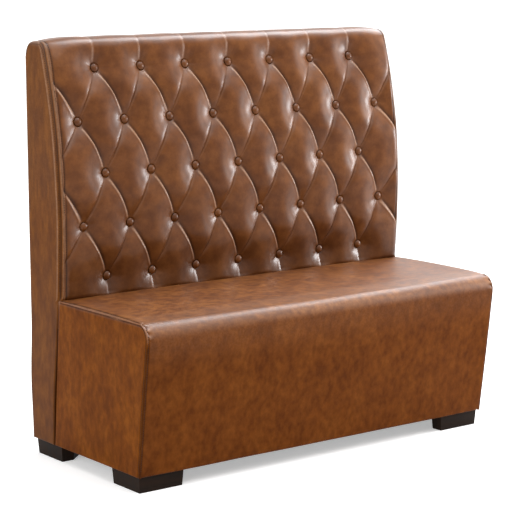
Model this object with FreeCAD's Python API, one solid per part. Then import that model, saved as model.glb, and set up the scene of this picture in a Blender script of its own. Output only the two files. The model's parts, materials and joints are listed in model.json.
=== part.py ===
import FreeCAD
import Part
import math
import os

# Restaurant booth bench, single sided: a padded seat box bolted to a tall back with
# diamond tufting. X is the width, +Y points to the rear, Z is up and the floor is at zero.
# A depth is measured forward from the flat rear face, a height from the floor. Millimetres.

# Overall size
overall_width = 1219.0
overall_depth = 592.0
overall_height = 1170.0

# Layers of cover, padding and board
cover_thickness = 1.2
side_padding_thickness = 6.0
front_padding_thickness = 12.0
board_thickness = 18.0
outside_board_thickness = 3.0
dust_cover_thickness = 0.8
clearance = 0.3
overrun = 40.0

# Seat
foot_height = 44.0
seat_height = 455.0
seat_crown = 7.0
seat_edge_crown = 1.5
nose_radius = 40.0
front_crown = 8.0
front_kick = 56.0
joint_bottom_depth = 112.0
joint_top_depth = 150.0

# Seat box
seat_foam_depth = 77.0
deck_thickness = 12.0
seat_rib_lift = 42.0
corner_block_leg = 125.0
corner_block_height = 60.0

# Outer form of the back, at its side seams
back_low_depth = 158.0
back_full_depth = 168.0
back_full_rise = 235.0
back_top_depth = 92.0
seam_top_drop = 13.0
top_front_radius = 24.0
top_rear_radius = 42.0

# Tufting
pleat_depth = 12.0
pleat_gap = 4.0
button_gap = 15.0
tuft_thickness = 26.0
tuft_clearance = 0.8
top_wadding_thickness = 16.0
pillow_rise = 24.0
top_pillow_rise = 5.0
least_rise = 0.3
low_rise_share = 0.7
corner_rise_share = 1.8
back_lift = 2.0
button_pitch = 150.8
end_button_margin = 60.0
bottom_row_rise = 56.0
top_row_drop = 84.6
row_count = 5

# Buttons, twines and washers
button_diameter = 23.0
button_dome = 6.5
button_rim = 1.5
button_shank_diameter = 5.0
button_shank_length = 4.0
twine_diameter = 2.0
washer_diameter = 16.0
washer_thickness = 1.6

# Back frame
frame_low_depth = 94.0
frame_full_depth = 100.0
frame_top_depth = 40.0
frame_top_drop = 52.0
front_panel_thickness = 6.0
back_rib_columns = 2.5
rail_height = 80.0

# Feet
foot_width = 141.0
foot_length = 131.0
foot_end = 42.0
foot_side_inset = 8.0
foot_front_inset = 9.0
foot_rear_inset = 9.0
foot_taper = 3.0

# Screws and bolts
screw_head_diameter = 8.0
screw_head_height = 3.2
screw_shank_diameter = 4.2
foot_screw_length = 62.0
foot_screw_recess = 20.0
foot_screw_margin = 32.0
frame_screw_length = 50.0
frame_screw_margin = 26.0
frame_screw_sink = 1.5
deck_screw_length = 40.0
board_screw_length = 22.0
board_screw_head_height = 2.0
board_screw_pitch = 225.0
board_screw_count = 4
bolt_diameter = 8.0
bolt_head_diameter = 14.5
bolt_head_height = 5.3
bolt_washer_diameter = 24.0
bolt_washer_thickness = 2.0
tee_nut_diameter = 22.0
tee_nut_flange = 1.6
tee_nut_barrel_diameter = 10.0
tee_nut_barrel_length = 9.0
bolt_end_inset = 107.3
bolt_rib_gap = 35.0
bolt_count = 4
bolt_drop = 48.0

# Places that follow from the sizes above
half_width = overall_width / 2
cover_end = half_width - cover_thickness
board_end = cover_end - side_padding_thickness
frame_rear = cover_thickness + outside_board_thickness
front_bottom_depth = overall_depth - front_kick
deck_height = seat_height - seat_foam_depth
back_full_height = seat_height + back_full_rise
seam_top_height = overall_height - seam_top_drop
frame_top_height = overall_height - frame_top_drop
slab_top = overall_height - top_pillow_rise
rear_seam_height = seam_top_height - top_rear_radius
padding_inset = cover_thickness + clearance
frame_bottom = foot_height
bottom_row_height = seat_height + bottom_row_rise
row_pitch = (overall_height - top_row_drop - bottom_row_height) / (row_count - 1)
half_pitch = button_pitch / 2
pillows_each_side = math.floor(cover_end / half_pitch)
bolt_spacing = 2 * (board_end - bolt_end_inset) / (bolt_count - 1)
bolt_height = deck_height - bolt_drop
seat_rib_spacing = bolt_spacing + 2 * bolt_rib_gap


def at(x, depth, height):
    """A point given by its place across, its depth from the rear face and its height."""
    return FreeCAD.Vector(x, overall_depth / 2 - depth, height)


def line(start, end):
    """A straight edge between two points."""
    return Part.makeLine(start, end)


def arc(start, middle, end):
    """A circular edge through three points."""
    return Part.Arc(start, middle, end).toShape()


def across(wire, width):
    """A solid made by pushing a closed outline along X."""
    return Part.Face(wire).extrude(FreeCAD.Vector(width, 0, 0))


def side_prism(points, x_low, x_high):
    """A solid whose side view is the polygon of depth and height points."""
    corners = [at(x_low, depth, height) for depth, height in points]
    return across(Part.makePolygon(corners + corners[:1]), x_high - x_low)


def block(x_low, x_high, depth_low, depth_high, height_low, height_high):
    """A box between two places on each axis."""
    points = [
        (depth_low, height_low),
        (depth_high, height_low),
        (depth_high, height_high),
        (depth_low, height_high),
    ]
    return side_prism(points, x_low, x_high)


class Curve:
    """Side view of a curved front: two arcs that meet, upright, at the fullest height."""

    def __init__(self, low_depth, low_height, full_depth, full_height, top_depth, top_height):
        self.full_depth = full_depth
        self.full_height = full_height
        self.low_radius = self.radius(full_depth - low_depth, full_height - low_height)
        self.top_radius = self.radius(full_depth - top_depth, top_height - full_height)

    def radius(self, drop, reach):
        """Radius of the arc that falls back by drop over a height of reach."""
        return (drop * drop + reach * reach) / (2 * drop)

    def arc_radius(self, height):
        """Radius of the arc that holds this height."""
        if height < self.full_height:
            return self.low_radius
        return self.top_radius

    def depth(self, height, inset):
        """Depth of the curve, moved back by inset, at a height."""
        radius = self.arc_radius(height)
        reach = height - self.full_height
        return self.full_depth - radius + math.sqrt((radius - inset) ** 2 - reach ** 2)

    def tilt(self, height):
        """Angle of the outward normal above level at a height."""
        return math.asin((height - self.full_height) / self.arc_radius(height))

    def place(self, height, inset):
        """Depth, height and normal angle, moved in by inset along the normal."""
        angle = self.tilt(height)
        depth = self.depth(height, 0) - inset * math.cos(angle)
        return depth, height - inset * math.sin(angle), angle

    def edge(self, x, low, high, inset):
        """Arc edge of the moved curve between two heights on one side of the fullest."""
        middle = (low + high) / 2
        start = at(x, self.depth(low, inset), low)
        through = at(x, self.depth(middle, inset), middle)
        return arc(start, through, at(x, self.depth(high, inset), high))


back_curve = Curve(
    back_low_depth, seat_height, back_full_depth, back_full_height, back_top_depth, seam_top_height
)
frame_curve = Curve(
    frame_low_depth, deck_height, frame_full_depth, back_full_height, frame_top_depth, frame_top_height
)


def joint_depth(height):
    """Depth of the sloping plane where the seat box meets the back."""
    slope = (joint_top_depth - joint_bottom_depth) / (seat_height - foot_height)
    return joint_bottom_depth + (height - foot_height) * slope


def top_front_corner(inset, top):
    """Centre, radius and end points of the rounding between the front curve and the top."""
    radius = top_front_radius - inset * top_front_radius / (top_front_radius + tuft_thickness)
    arm = back_curve.top_radius - inset - radius
    centre_height = top - radius
    reach = centre_height - back_full_height
    centre_depth = back_full_depth - back_curve.top_radius + math.sqrt(arm ** 2 - reach ** 2)
    angle = math.asin(reach / arm)
    return centre_depth, centre_height, radius, angle


def round_point(centre_depth, centre_height, radius, angle):
    """Depth and height on a rounding, with the angle measured up from straight ahead."""
    return centre_depth + radius * math.cos(angle), centre_height + radius * math.sin(angle)


def back_wire(x, inset, top, rear, low):
    """Closed side view of the back from a low height up, with both top corners rounded."""
    depth, height, radius, angle = top_front_corner(inset, top)
    join = round_point(depth, height, radius, angle)
    corner = round_point(depth, height, radius, (angle + math.pi / 2) / 2)
    rear_radius = top_rear_radius - rear
    rear_middle = round_point(rear + rear_radius, top - rear_radius, rear_radius, 3 * math.pi / 4)
    rear_end = at(x, rear, top - rear_radius)
    edges = [
        back_curve.edge(x, low, back_full_height, inset),
        back_curve.edge(x, back_full_height, join[1], inset),
        arc(at(x, *join), at(x, *corner), at(x, depth, top)),
        line(at(x, depth, top), at(x, rear + rear_radius, top)),
        arc(at(x, rear + rear_radius, top), at(x, *rear_middle), rear_end),
        line(rear_end, at(x, rear, low)),
        line(at(x, rear, low), at(x, back_curve.depth(low, inset), low)),
    ]
    return Part.Wire(edges)


def back_prism(x_low, x_high, inset, top, rear, low):
    """The back's side view as a solid between two places across."""
    return across(back_wire(x_low, inset, top, rear, low), x_high - x_low)


def lower_back_prism(x_low, x_high, rear, low, high):
    """Part of the back below the seat's top, in front of which the seat box sits."""
    points = [(rear, low), (joint_depth(low), low), (joint_depth(high), high), (rear, high)]
    return side_prism(points, x_low, x_high)


def seat_wire(x, share, inset, bottom):
    """Closed side view of the seat form; share is how much of the full crown it has."""
    centre_depth = overall_depth - nose_radius - front_crown * (1 - share)
    centre_height = seat_height - nose_radius
    radius = nose_radius - inset
    rise = centre_height - foot_height
    run = centre_depth - front_bottom_depth
    reach = math.hypot(run, rise)
    lean = math.atan2(rise, run) - math.asin(nose_radius / reach) - math.pi / 2
    front = round_point(centre_depth, centre_height, radius, lean)
    nose = round_point(centre_depth, centre_height, radius, (lean + math.pi / 2) / 2)
    foot_depth = front[0] + (front[1] - bottom) * math.tan(lean)
    top = seat_height - inset
    crown = seat_edge_crown + (seat_crown - seat_edge_crown) * share
    rear_depth = joint_depth(top)
    middle_depth = (rear_depth + centre_depth) / 2
    edges = [
        line(at(x, joint_depth(bottom), bottom), at(x, foot_depth, bottom)),
        line(at(x, foot_depth, bottom), at(x, *front)),
        arc(at(x, *front), at(x, *nose), at(x, centre_depth, top)),
        arc(at(x, centre_depth, top), at(x, middle_depth, top + crown), at(x, rear_depth, top)),
        line(at(x, rear_depth, top), at(x, joint_depth(bottom), bottom)),
    ]
    return Part.Wire(edges)


def seat_form(end, inset, bottom):
    """The crowned seat between two side planes, lofted through its ends and its middle."""
    wires = [
        seat_wire(-end, 0, inset, bottom),
        seat_wire(0, 1, inset, bottom),
        seat_wire(end, 0, inset, bottom),
    ]
    return Part.makeLoft(wires, True, False)


def front_line_depth(height, inset):
    """Depth of the raked front at its ends, moved back by inset."""
    wire = seat_wire(0, 0, inset, foot_height)
    low, high = [vertex.Point for vertex in wire.Edges[1].Vertexes]
    share = (height - low.z) / (high.z - low.z)
    return overall_depth / 2 - (low.y + (high.y - low.y) * share)


# Fasteners: each is made along +Z at the origin, then turned and moved to its place


def placed(shape, point, direction):
    """A shape made along +Z, turned to a direction and moved to a point."""
    turn = FreeCAD.Rotation(FreeCAD.Vector(0, 0, 1), direction)
    result = shape.copy()
    result.Placement = FreeCAD.Placement(point, turn)
    return result


def rod(diameter, length, start):
    """A cylinder along +Z that begins at a height."""
    return Part.makeCylinder(diameter / 2, length, FreeCAD.Vector(0, 0, start))


def screw(length, head_height):
    """A flat-headed screw whose head's face is at zero and whose point is at length."""
    head = Part.makeCone(screw_head_diameter / 2, screw_shank_diameter / 2, head_height)
    shank = rod(screw_shank_diameter, length - head_height - screw_shank_diameter, head_height)
    tip_start = FreeCAD.Vector(0, 0, length - screw_shank_diameter)
    tip = Part.makeCone(screw_shank_diameter / 2, 0, screw_shank_diameter, tip_start)
    return head.fuse([shank, tip]).removeSplitter()


def screw_hole(length, head_height):
    """The countersunk hole that takes a screw, with clearance all round."""
    top = screw_head_diameter / 2 + clearance
    neck = screw_shank_diameter / 2 + clearance
    head = Part.makeCone(top, neck, head_height)
    access = rod(2 * top, overrun, -overrun)
    return head.fuse([access, rod(2 * neck, length, 0)])


def screws_at(places, length, head_height):
    """Screws and their holes at a list of points and directions."""
    screws = [placed(screw(length, head_height), point, way) for point, way in places]
    holes = [placed(screw_hole(length, head_height), point, way) for point, way in places]
    return screws, holes


UP = FreeCAD.Vector(0, 0, 1)
DOWN = FreeCAD.Vector(0, 0, -1)
FORWARD = FreeCAD.Vector(0, -1, 0)
REARWARD = FreeCAD.Vector(0, 1, 0)


# Seat box


def seat_side_board(side):
    """Side board of the seat box, its front edge raked behind the front board."""
    gap = padding_inset + front_padding_thickness + board_thickness
    top = deck_height - deck_thickness
    points = [
        (joint_depth(frame_bottom), frame_bottom),
        (front_line_depth(frame_bottom, gap), frame_bottom),
        (front_line_depth(top, gap), top),
        (joint_depth(top), top),
    ]
    edges = sorted((side * board_end, side * (board_end - board_thickness)))
    return side_prism(points, *edges)


def seat_front_board():
    """Raked board across the front."""
    near = padding_inset + front_padding_thickness
    far = near + board_thickness
    top = deck_height - deck_thickness
    points = [
        (front_line_depth(frame_bottom, far), frame_bottom),
        (front_line_depth(frame_bottom, near), frame_bottom),
        (front_line_depth(top, near), top),
        (front_line_depth(top, far), top),
    ]
    return side_prism(points, -board_end, board_end)


def seat_rear_board():
    """Board along the sloping joint with the back, between the side boards."""
    top = deck_height - deck_thickness
    points = [
        (joint_depth(frame_bottom), frame_bottom),
        (joint_depth(frame_bottom) + board_thickness, frame_bottom),
        (joint_depth(top) + board_thickness, top),
        (joint_depth(top), top),
    ]
    inner = board_end - board_thickness
    return side_prism(points, -inner, inner)


def seat_rib(side):
    """Upright rib under the deck, from the rear board to the front board."""
    top = deck_height - deck_thickness
    low = frame_bottom + seat_rib_lift
    gap = padding_inset + front_padding_thickness + board_thickness
    points = [
        (joint_depth(low) + board_thickness, low),
        (front_line_depth(low, gap), low),
        (front_line_depth(top, gap), top),
        (joint_depth(top) + board_thickness, top),
    ]
    middle = side * seat_rib_spacing / 2
    return side_prism(points, middle - board_thickness / 2, middle + board_thickness / 2)


def seat_deck():
    """Plywood deck that the seat foam lies on."""
    near = padding_inset + front_padding_thickness
    low = deck_height - deck_thickness
    points = [
        (joint_depth(low), low),
        (front_line_depth(low, near), low),
        (front_line_depth(deck_height, near), deck_height),
        (joint_depth(deck_height), deck_height),
    ]
    return side_prism(points, -board_end, board_end)


def corner_block(side):
    """Three-sided block in a front corner of the box that a front foot is screwed to."""
    x_corner = side * (board_end - board_thickness)
    gap = padding_inset + front_padding_thickness + board_thickness
    corner_depth = front_line_depth(frame_bottom, gap)
    corners = [
        at(x_corner, corner_depth, frame_bottom),
        at(x_corner - side * corner_block_leg, corner_depth, frame_bottom),
        at(x_corner, corner_depth - corner_block_leg, frame_bottom),
    ]
    face = Part.Face(Part.makePolygon(corners + corners[:1]))
    return face.extrude(FreeCAD.Vector(0, 0, corner_block_height))


# Back frame


def back_side_view(x_low, x_high, low, top):
    """Solid frame outline: a deep lower part below the deck and the curved part above it."""
    lower = lower_back_prism(x_low, x_high, frame_rear, low, deck_height)
    foot_depth = frame_curve.depth(deck_height, 0)
    edges = [
        frame_curve.edge(x_low, deck_height, back_full_height, 0),
        frame_curve.edge(x_low, back_full_height, top, 0),
        line(at(x_low, frame_curve.depth(top, 0), top), at(x_low, frame_rear, top)),
        line(at(x_low, frame_rear, top), at(x_low, frame_rear, deck_height)),
        line(at(x_low, frame_rear, deck_height), at(x_low, foot_depth, deck_height)),
    ]
    upper = across(Part.Wire(edges), x_high - x_low)
    return lower.fuse(upper).removeSplitter()


def back_end_panel(side):
    """End panel of the back, from the floor side of the frame to its top."""
    edges = sorted((side * board_end, side * (board_end - board_thickness)))
    return back_side_view(*edges, frame_bottom, frame_top_height)


def back_top_rail():
    """Rail across the top of the frame, between the end panels."""
    inner = board_end - board_thickness
    outline = back_side_view(-inner, inner, frame_bottom, frame_top_height)
    low = frame_top_height - board_thickness
    return outline.common(block(-inner, inner, 0, overall_depth, low, frame_top_height))


def back_bottom_board():
    """Flat board across the bottom of the back; the rear feet are screwed to it."""
    inner = board_end - board_thickness
    return lower_back_prism(-inner, inner, frame_rear, frame_bottom, frame_bottom + board_thickness)


def back_seat_rail():
    """Rail across the back at seat level that the seat box is bolted to."""
    inner = board_end - board_thickness
    low = deck_height - rail_height
    points = [
        (joint_depth(low) - board_thickness, low),
        (joint_depth(low), low),
        (joint_depth(deck_height), deck_height),
        (joint_depth(deck_height) - board_thickness, deck_height),
    ]
    return side_prism(points, -inner, inner)


def rib_place(side):
    """Place across of an inner rib, midway between two columns of buttons."""
    return side * back_rib_columns * half_pitch


def back_rib(side):
    """Inner rib of the back, between the bottom board and the top rail."""
    x_low = rib_place(side) - board_thickness / 2
    outline = back_side_view(x_low, x_low + board_thickness, frame_bottom, frame_top_height)
    return outline.cut([back_top_rail(), back_bottom_board(), back_seat_rail()])


def back_front_panel():
    """Thin bent panel on the front of the ribs that carries foam and buttons."""
    near = -clearance
    far = near - front_panel_thickness
    top = frame_top_height - clearance
    edges = []
    for inset in (near, far):
        edges.append(frame_curve.edge(-board_end, deck_height, back_full_height, inset))
        edges.append(frame_curve.edge(-board_end, back_full_height, top, inset))
    for height in (deck_height, top):
        start = at(-board_end, frame_curve.depth(height, near), height)
        edges.append(line(start, at(-board_end, frame_curve.depth(height, far), height)))
    outline = Part.Wire(Part.__sortEdges__(edges))
    return across(outline, 2 * board_end).cut(twine_holes())


def outside_back_board():
    """Hardboard panel on the rear of the frame."""
    return block(-cover_end, cover_end, cover_thickness, frame_rear, frame_bottom, rear_seam_height)


# Padding


def seat_padding_form():
    """Everything that the seat's cover wraps, foam and box together."""
    return seat_form(board_end, padding_inset, frame_bottom)


def seat_foam():
    """Seat foam on the deck, crowned, with its rounded front edge."""
    above = block(-half_width, half_width, 0, overall_depth, deck_height, overall_height)
    return seat_padding_form().common(above)


def seat_front_padding():
    """Thin foam on the front board, below the seat foam."""
    near = padding_inset + front_padding_thickness
    behind = [
        (joint_bottom_depth - overrun, frame_bottom - overrun),
        (front_line_depth(frame_bottom - overrun, near), frame_bottom - overrun),
        (front_line_depth(deck_height, near), deck_height),
        (joint_bottom_depth - overrun, deck_height),
    ]
    box_space = side_prism(behind, -half_width, half_width)
    below = block(-half_width, half_width, 0, overall_depth, frame_bottom, deck_height)
    return seat_padding_form().common(below).cut(box_space)


def seat_side_padding(side):
    """Thin foam between the seat's side board and its side cover."""
    x_low = min(side * cover_end, side * board_end)
    return across(seat_wire(x_low, 0, padding_inset, frame_bottom), side_padding_thickness)


def back_foam():
    """Back foam: front slab on the bent panel, wrapped over the top rail."""
    top = slab_top - top_wadding_thickness - tuft_clearance
    inset = pleat_depth + tuft_thickness + tuft_clearance
    upper = back_prism(-board_end, board_end, inset, top, frame_rear, seat_height)
    ledge = lower_back_prism(-board_end, board_end, frame_rear, deck_height, seat_height)
    whole = upper.fuse(ledge)
    low = deck_height - overrun
    panel_front = -2 * clearance - front_panel_thickness
    x = -half_width
    high = frame_top_height
    edges = [
        frame_curve.edge(x, low, back_full_height, panel_front),
        frame_curve.edge(x, back_full_height, high, panel_front),
        line(at(x, frame_curve.depth(high, panel_front), high), at(x, -overrun, high)),
        line(at(x, -overrun, high), at(x, -overrun, low)),
        line(at(x, -overrun, low), at(x, frame_curve.depth(low, panel_front), low)),
    ]
    frame_space = across(Part.Wire(edges), overall_width)
    return whole.cut(frame_space).cut(twine_holes()).removeSplitter()


def back_side_outline(x_low, x_high, inset, top):
    """Full side of the back: the curved part above the seat and the part beside the joint."""
    lower = lower_back_prism(x_low, x_high, frame_rear, frame_bottom, seat_height)
    upper = back_prism(x_low, x_high, inset, top, frame_rear, seat_height)
    return lower.fuse(upper).removeSplitter()


def back_side_padding(side):
    """Thin foam on the end panel, as tall as the foam beside it."""
    x_low = min(side * cover_end, side * board_end)
    top = slab_top - top_wadding_thickness - tuft_clearance
    inset = pleat_depth + tuft_thickness + tuft_clearance
    return back_side_outline(x_low, x_low + side_padding_thickness, inset, top)


# Covers


def seat_cover():
    """One panel over the seat's top, its rounded front edge and its raked front."""
    outer = seat_form(cover_end, 0, frame_bottom)
    inner = seat_form(cover_end, cover_thickness, frame_bottom)
    return outer.cut(inner)


def seat_side_cover(side):
    """Plain side panel of the seat."""
    x_low = min(side * half_width, side * cover_end)
    return across(seat_wire(x_low, 0, 0, frame_bottom), cover_thickness)


def back_side_cover(side):
    """Plain side panel of the back, seamed to the tufted cover along its curved front."""
    x_low = min(side * half_width, side * cover_end)
    level = seat_height + clearance
    lower = lower_back_prism(x_low, x_low + cover_thickness, 0, frame_bottom, level)
    upper = back_prism(x_low, x_low + cover_thickness, 0, seam_top_height, 0, level)
    return lower.fuse(upper).removeSplitter()


def outside_back_cover():
    """Flat cover of the rear face, up to the seam below the rounded top."""
    return block(-cover_end, cover_end, 0, cover_thickness, frame_bottom, rear_seam_height)


def dust_cover():
    """Thin cloth under the frame, cut out round the feet."""
    inner = board_end - board_thickness / 2
    front_inset = padding_inset + front_padding_thickness + board_thickness / 2
    front = front_line_depth(frame_bottom, front_inset)
    low = frame_bottom - dust_cover_thickness
    sheet = block(-inner, inner, frame_rear + board_thickness / 2, front, low, frame_bottom)
    return sheet.cut([foot_prism(end, side, clearance) for end in (-1, 1) for side in (-1, 1)])


# Tufting


def row_height(row):
    """Height of a row of buttons, counted from the bottom."""
    return bottom_row_height + row * row_pitch


def row_places(row):
    """Places across of the buttons of a row; each row stands half a pitch over from the last."""
    limit = cover_end - end_button_margin
    steps = range(-pillows_each_side, pillows_each_side + 1)
    places = [step * half_pitch for step in steps if (step - row) % 2 == 0]
    return [x for x in places if abs(x) < limit]


def pillow_edges(phase, gap):
    """Places across of the pleats of a section; phase is 1 on the first row, -1 on the next."""
    quarter = half_pitch / 2
    shift = (quarter - gap / 2) * phase
    edges = []
    for step in range(-pillows_each_side, pillows_each_side):
        toward = 1 if step % 2 else -1
        edges.append(step * half_pitch + quarter + toward * shift)
    return edges


def pillow_swell(width, gap):
    """Share of the full rise that a pillow has where it is this wide."""
    fullness = (width - gap) / (button_pitch - 2 * gap)
    return 1 - (1 - min(1, max(0, fullness))) ** 2


def tuft_section(phase, gap, rise, pleat, seam, inner):
    """Closed section of the tufted cover: an arc for each pillow over a straight inside."""
    xs = [-cover_end] + pillow_edges(phase, gap) + [cover_end]
    out_depth = pleat[0] - inner[0]
    out_height = pleat[1] - inner[1]
    reach = math.hypot(out_depth, out_height)
    edges = []
    for left, right in zip(xs[:-1], xs[1:]):
        start = seam if left == -cover_end else pleat
        end = seam if right == cover_end else pleat
        lift = least_rise + (rise - least_rise) * pillow_swell(right - left, gap)
        middle_depth = (start[0] + end[0]) / 2 + lift * out_depth / reach
        middle_height = (start[1] + end[1]) / 2 + lift * out_height / reach
        over = at((left + right) / 2, middle_depth, middle_height)
        edges.append(arc(at(left, *start), over, at(right, *end)))
    edges.append(line(at(cover_end, *seam), at(cover_end, *inner)))
    edges.append(line(at(cover_end, *inner), at(-cover_end, *inner)))
    edges.append(line(at(-cover_end, *inner), at(-cover_end, *seam)))
    return Part.Wire(edges)


def front_tuft_section(height, phase, gap, rise):
    """Section of the tufted cover at a height of its front."""
    pleat = back_curve.place(height, pleat_depth)[:2]
    seam = back_curve.place(height, 0)[:2]
    inner = back_curve.place(height, pleat_depth + tuft_thickness)[:2]
    return tuft_section(phase, gap, rise, pleat, seam, inner)


def bottom_tuft_section():
    """Level section where the tufted cover meets the seat."""
    low = seat_height + back_lift
    pleat = (back_curve.depth(low, pleat_depth), low)
    seam = (back_curve.depth(low, 0), low)
    inner = (back_curve.depth(low, pleat_depth + tuft_thickness), low)
    return tuft_section(1, pleat_gap, pillow_rise * low_rise_share, pleat, seam, inner)


def top_tuft_sections():
    """Sections round the top of the back, from its front corner to the seam at the rear."""
    inner_top = slab_top - top_wadding_thickness
    inner_front = (back_curve.depth(inner_top, pleat_depth + tuft_thickness), inner_top)
    outer = top_front_corner(pleat_depth, slab_top)
    side = top_front_corner(0, seam_top_height)
    corner_angle = (outer[3] + math.pi / 2) / 2
    pleat = round_point(*outer[:3], corner_angle)
    seam = round_point(*side[:3], corner_angle)
    sections = [tuft_section(1, pleat_gap, top_pillow_rise * corner_rise_share, pleat, seam, inner_front)]
    for depth in (outer[0], top_rear_radius):
        pleat = (depth, slab_top)
        seam = (depth, seam_top_height)
        sections.append(tuft_section(1, pleat_gap, top_pillow_rise, pleat, seam, (depth, inner_top)))
    rear = 3 * math.pi / 4
    pleat = round_point(top_rear_radius, slab_top - top_rear_radius, top_rear_radius, rear)
    seam = round_point(top_rear_radius, rear_seam_height, top_rear_radius, rear)
    inner = (frame_rear, inner_top)
    sections.append(tuft_section(1, pleat_gap, least_rise, pleat, seam, inner))
    pleat = (least_rise, rear_seam_height)
    inner = (frame_rear, rear_seam_height)
    sections.append(tuft_section(1, pleat_gap, least_rise, pleat, pleat, inner))
    return sections


def tuft_form():
    """The whole tufted cover, lofted straight from section to section so pleats stay straight."""
    sections = [bottom_tuft_section()]
    for row in range(row_count):
        phase = -1 if row % 2 else 1
        sections.append(front_tuft_section(row_height(row), phase, button_gap, pillow_rise))
        if row + 1 < row_count:
            between = row_height(row) + row_pitch / 2
            sections.append(front_tuft_section(between, 0, button_gap, pillow_rise))
    return Part.makeLoft(sections + top_tuft_sections(), True, True)


def back_tufted_cover():
    """Tufted cover quilted to its wadding, with each button's seat and its twine's hole."""
    pockets = []
    radius = button_diameter / 2 + clearance
    for row in button_seats():
        for point, direction in row:
            pockets.append(Part.makeCylinder(radius, pillow_rise, point, direction))
    return tuft_form().cut(twine_holes() + pockets)


# Buttons and what ties them


def button_seats():
    """Point and outward direction of every button, row by row."""
    rows = []
    for row in range(row_count):
        depth, height, angle = back_curve.place(row_height(row), pleat_depth)
        direction = FreeCAD.Vector(0, -math.cos(angle), math.sin(angle))
        rows.append([(at(x, depth, height), direction) for x in row_places(row)])
    return rows


def twine_length(point, direction):
    """Distance from a button's shank back to the washer behind the bent panel."""
    height = point.z
    depth = overall_depth / 2 - point.y
    panel = frame_curve.depth(height, 0)
    drop = math.tan(frame_curve.tilt(height)) * washer_diameter / 2
    return (depth - panel) / -direction.y + drop + clearance


def twine_holes():
    """Holes for the twines and the shanks through cover, foam and panel."""
    holes = []
    twine = twine_diameter / 2 + clearance
    shank = button_shank_diameter / 2 + clearance
    for row in button_seats():
        for point, direction in row:
            long_hole = Part.makeCylinder(twine, 2 * overrun + back_full_depth, point, -direction)
            short_hole = Part.makeCylinder(shank, button_shank_length + clearance, point, -direction)
            holes.append(long_hole.fuse(short_hole))
    return holes


def profile(radius, height):
    """A point of an outline that is turned about Z."""
    return FreeCAD.Vector(radius, 0, height)


def button(point, direction):
    """A covered button: low rim, domed face and a short shank behind it."""
    radius = button_diameter / 2
    shank = button_shank_diameter / 2
    bottom = -button_shank_length
    outline = [
        line(profile(0, bottom), profile(shank, bottom)),
        line(profile(shank, bottom), profile(shank, 0)),
        line(profile(shank, 0), profile(radius, 0)),
        line(profile(radius, 0), profile(radius, button_rim)),
        dome_edge(radius),
        line(profile(0, button_dome), profile(0, bottom)),
    ]
    turned = Part.Face(Part.Wire(outline)).revolve(FreeCAD.Vector(), UP, 360)
    return placed(turned, point + direction * clearance, direction)


def dome_edge(radius):
    """Arc of the button's face from its rim to its middle."""
    rise = button_dome - button_rim
    dome_radius = (radius * radius + rise * rise) / (2 * rise)
    half = math.asin(radius / dome_radius) / 2
    centre = button_dome - dome_radius
    through = profile(dome_radius * math.sin(half), centre + dome_radius * math.cos(half))
    return arc(profile(radius, button_rim), through, profile(0, button_dome))


def button_row(row):
    """All the buttons of one row."""
    return Part.makeCompound([button(point, way) for point, way in button_seats()[row]])


def button_twines():
    """A twine from each button's shank to its washer."""
    twines = []
    for row in button_seats():
        for point, way in row:
            start = point - way * (button_shank_length - clearance)
            length = twine_length(point, way) - button_shank_length + clearance
            twines.append(Part.makeCylinder(twine_diameter / 2, length, start, -way))
    return Part.makeCompound(twines)


def button_washers():
    """A washer behind the bent panel at the end of each twine."""
    washers = []
    for row in button_seats():
        for point, way in row:
            start = point - way * twine_length(point, way)
            washers.append(Part.makeCylinder(washer_diameter / 2, washer_thickness, start, -way))
    return Part.makeCompound(washers)


# Feet


def foot_outline(end, side, height, margin, grow):
    """Five-sided plan of a foot; end is 1 at the front and -1 at the rear."""
    if end > 0:
        outer_depth = front_bottom_depth - foot_front_inset
    else:
        outer_depth = foot_rear_inset
    outer_x = half_width - foot_side_inset
    plan = [
        (margin, margin),
        (foot_width - grow, margin),
        (foot_width - grow, foot_end - grow),
        (foot_end - grow, foot_length - grow),
        (margin, foot_length - grow),
    ]
    corners = [at(side * (outer_x - x), outer_depth - end * depth, height) for x, depth in plan]
    return Part.makePolygon(corners + corners[:1])


def foot(end, side):
    """Tapered corner foot with a screw hole near each end and one in the corner."""
    top = foot_outline(end, side, frame_bottom, 0, 0)
    bottom = foot_outline(end, side, 0, foot_taper, foot_taper)
    return Part.makeLoft([bottom, top], True, True).cut(foot_screws()[1])


def foot_prism(end, side, gap):
    """Straight block round the top of a foot, wider by a gap, to cut the dust cover with."""
    top = foot_outline(end, side, frame_bottom - dust_cover_thickness - overrun, -gap, -gap)
    return Part.Face(top).extrude(FreeCAD.Vector(0, 0, 2 * overrun))


def foot_screws():
    """Three screws up through each foot into the frame, and their holes."""
    places = []
    outer_x = half_width - foot_side_inset
    for end in (-1, 1):
        if end > 0:
            outer_depth = front_bottom_depth - foot_front_inset
        else:
            outer_depth = foot_rear_inset
        for side in (-1, 1):
            for along_x, along_y in foot_screw_plan(end):
                point = at(side * (outer_x - along_x), outer_depth - end * along_y, foot_screw_recess)
                places.append((point, UP))
    return screws_at(places, foot_screw_length, screw_head_height)


def foot_screw_plan(end):
    """Places of a foot's screws, measured in from its outer corner."""
    near = foot_screw_margin
    corner = near + board_thickness / 2
    if end > 0:
        return [(corner, corner), (foot_width - near, corner), (corner, foot_length - near)]
    far_x = foot_width - near
    far_depth = foot_length - foot_end - near / 2
    return [(corner, near), (far_x, near - screw_head_diameter), (near, far_depth)]


# Frame fasteners


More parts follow.
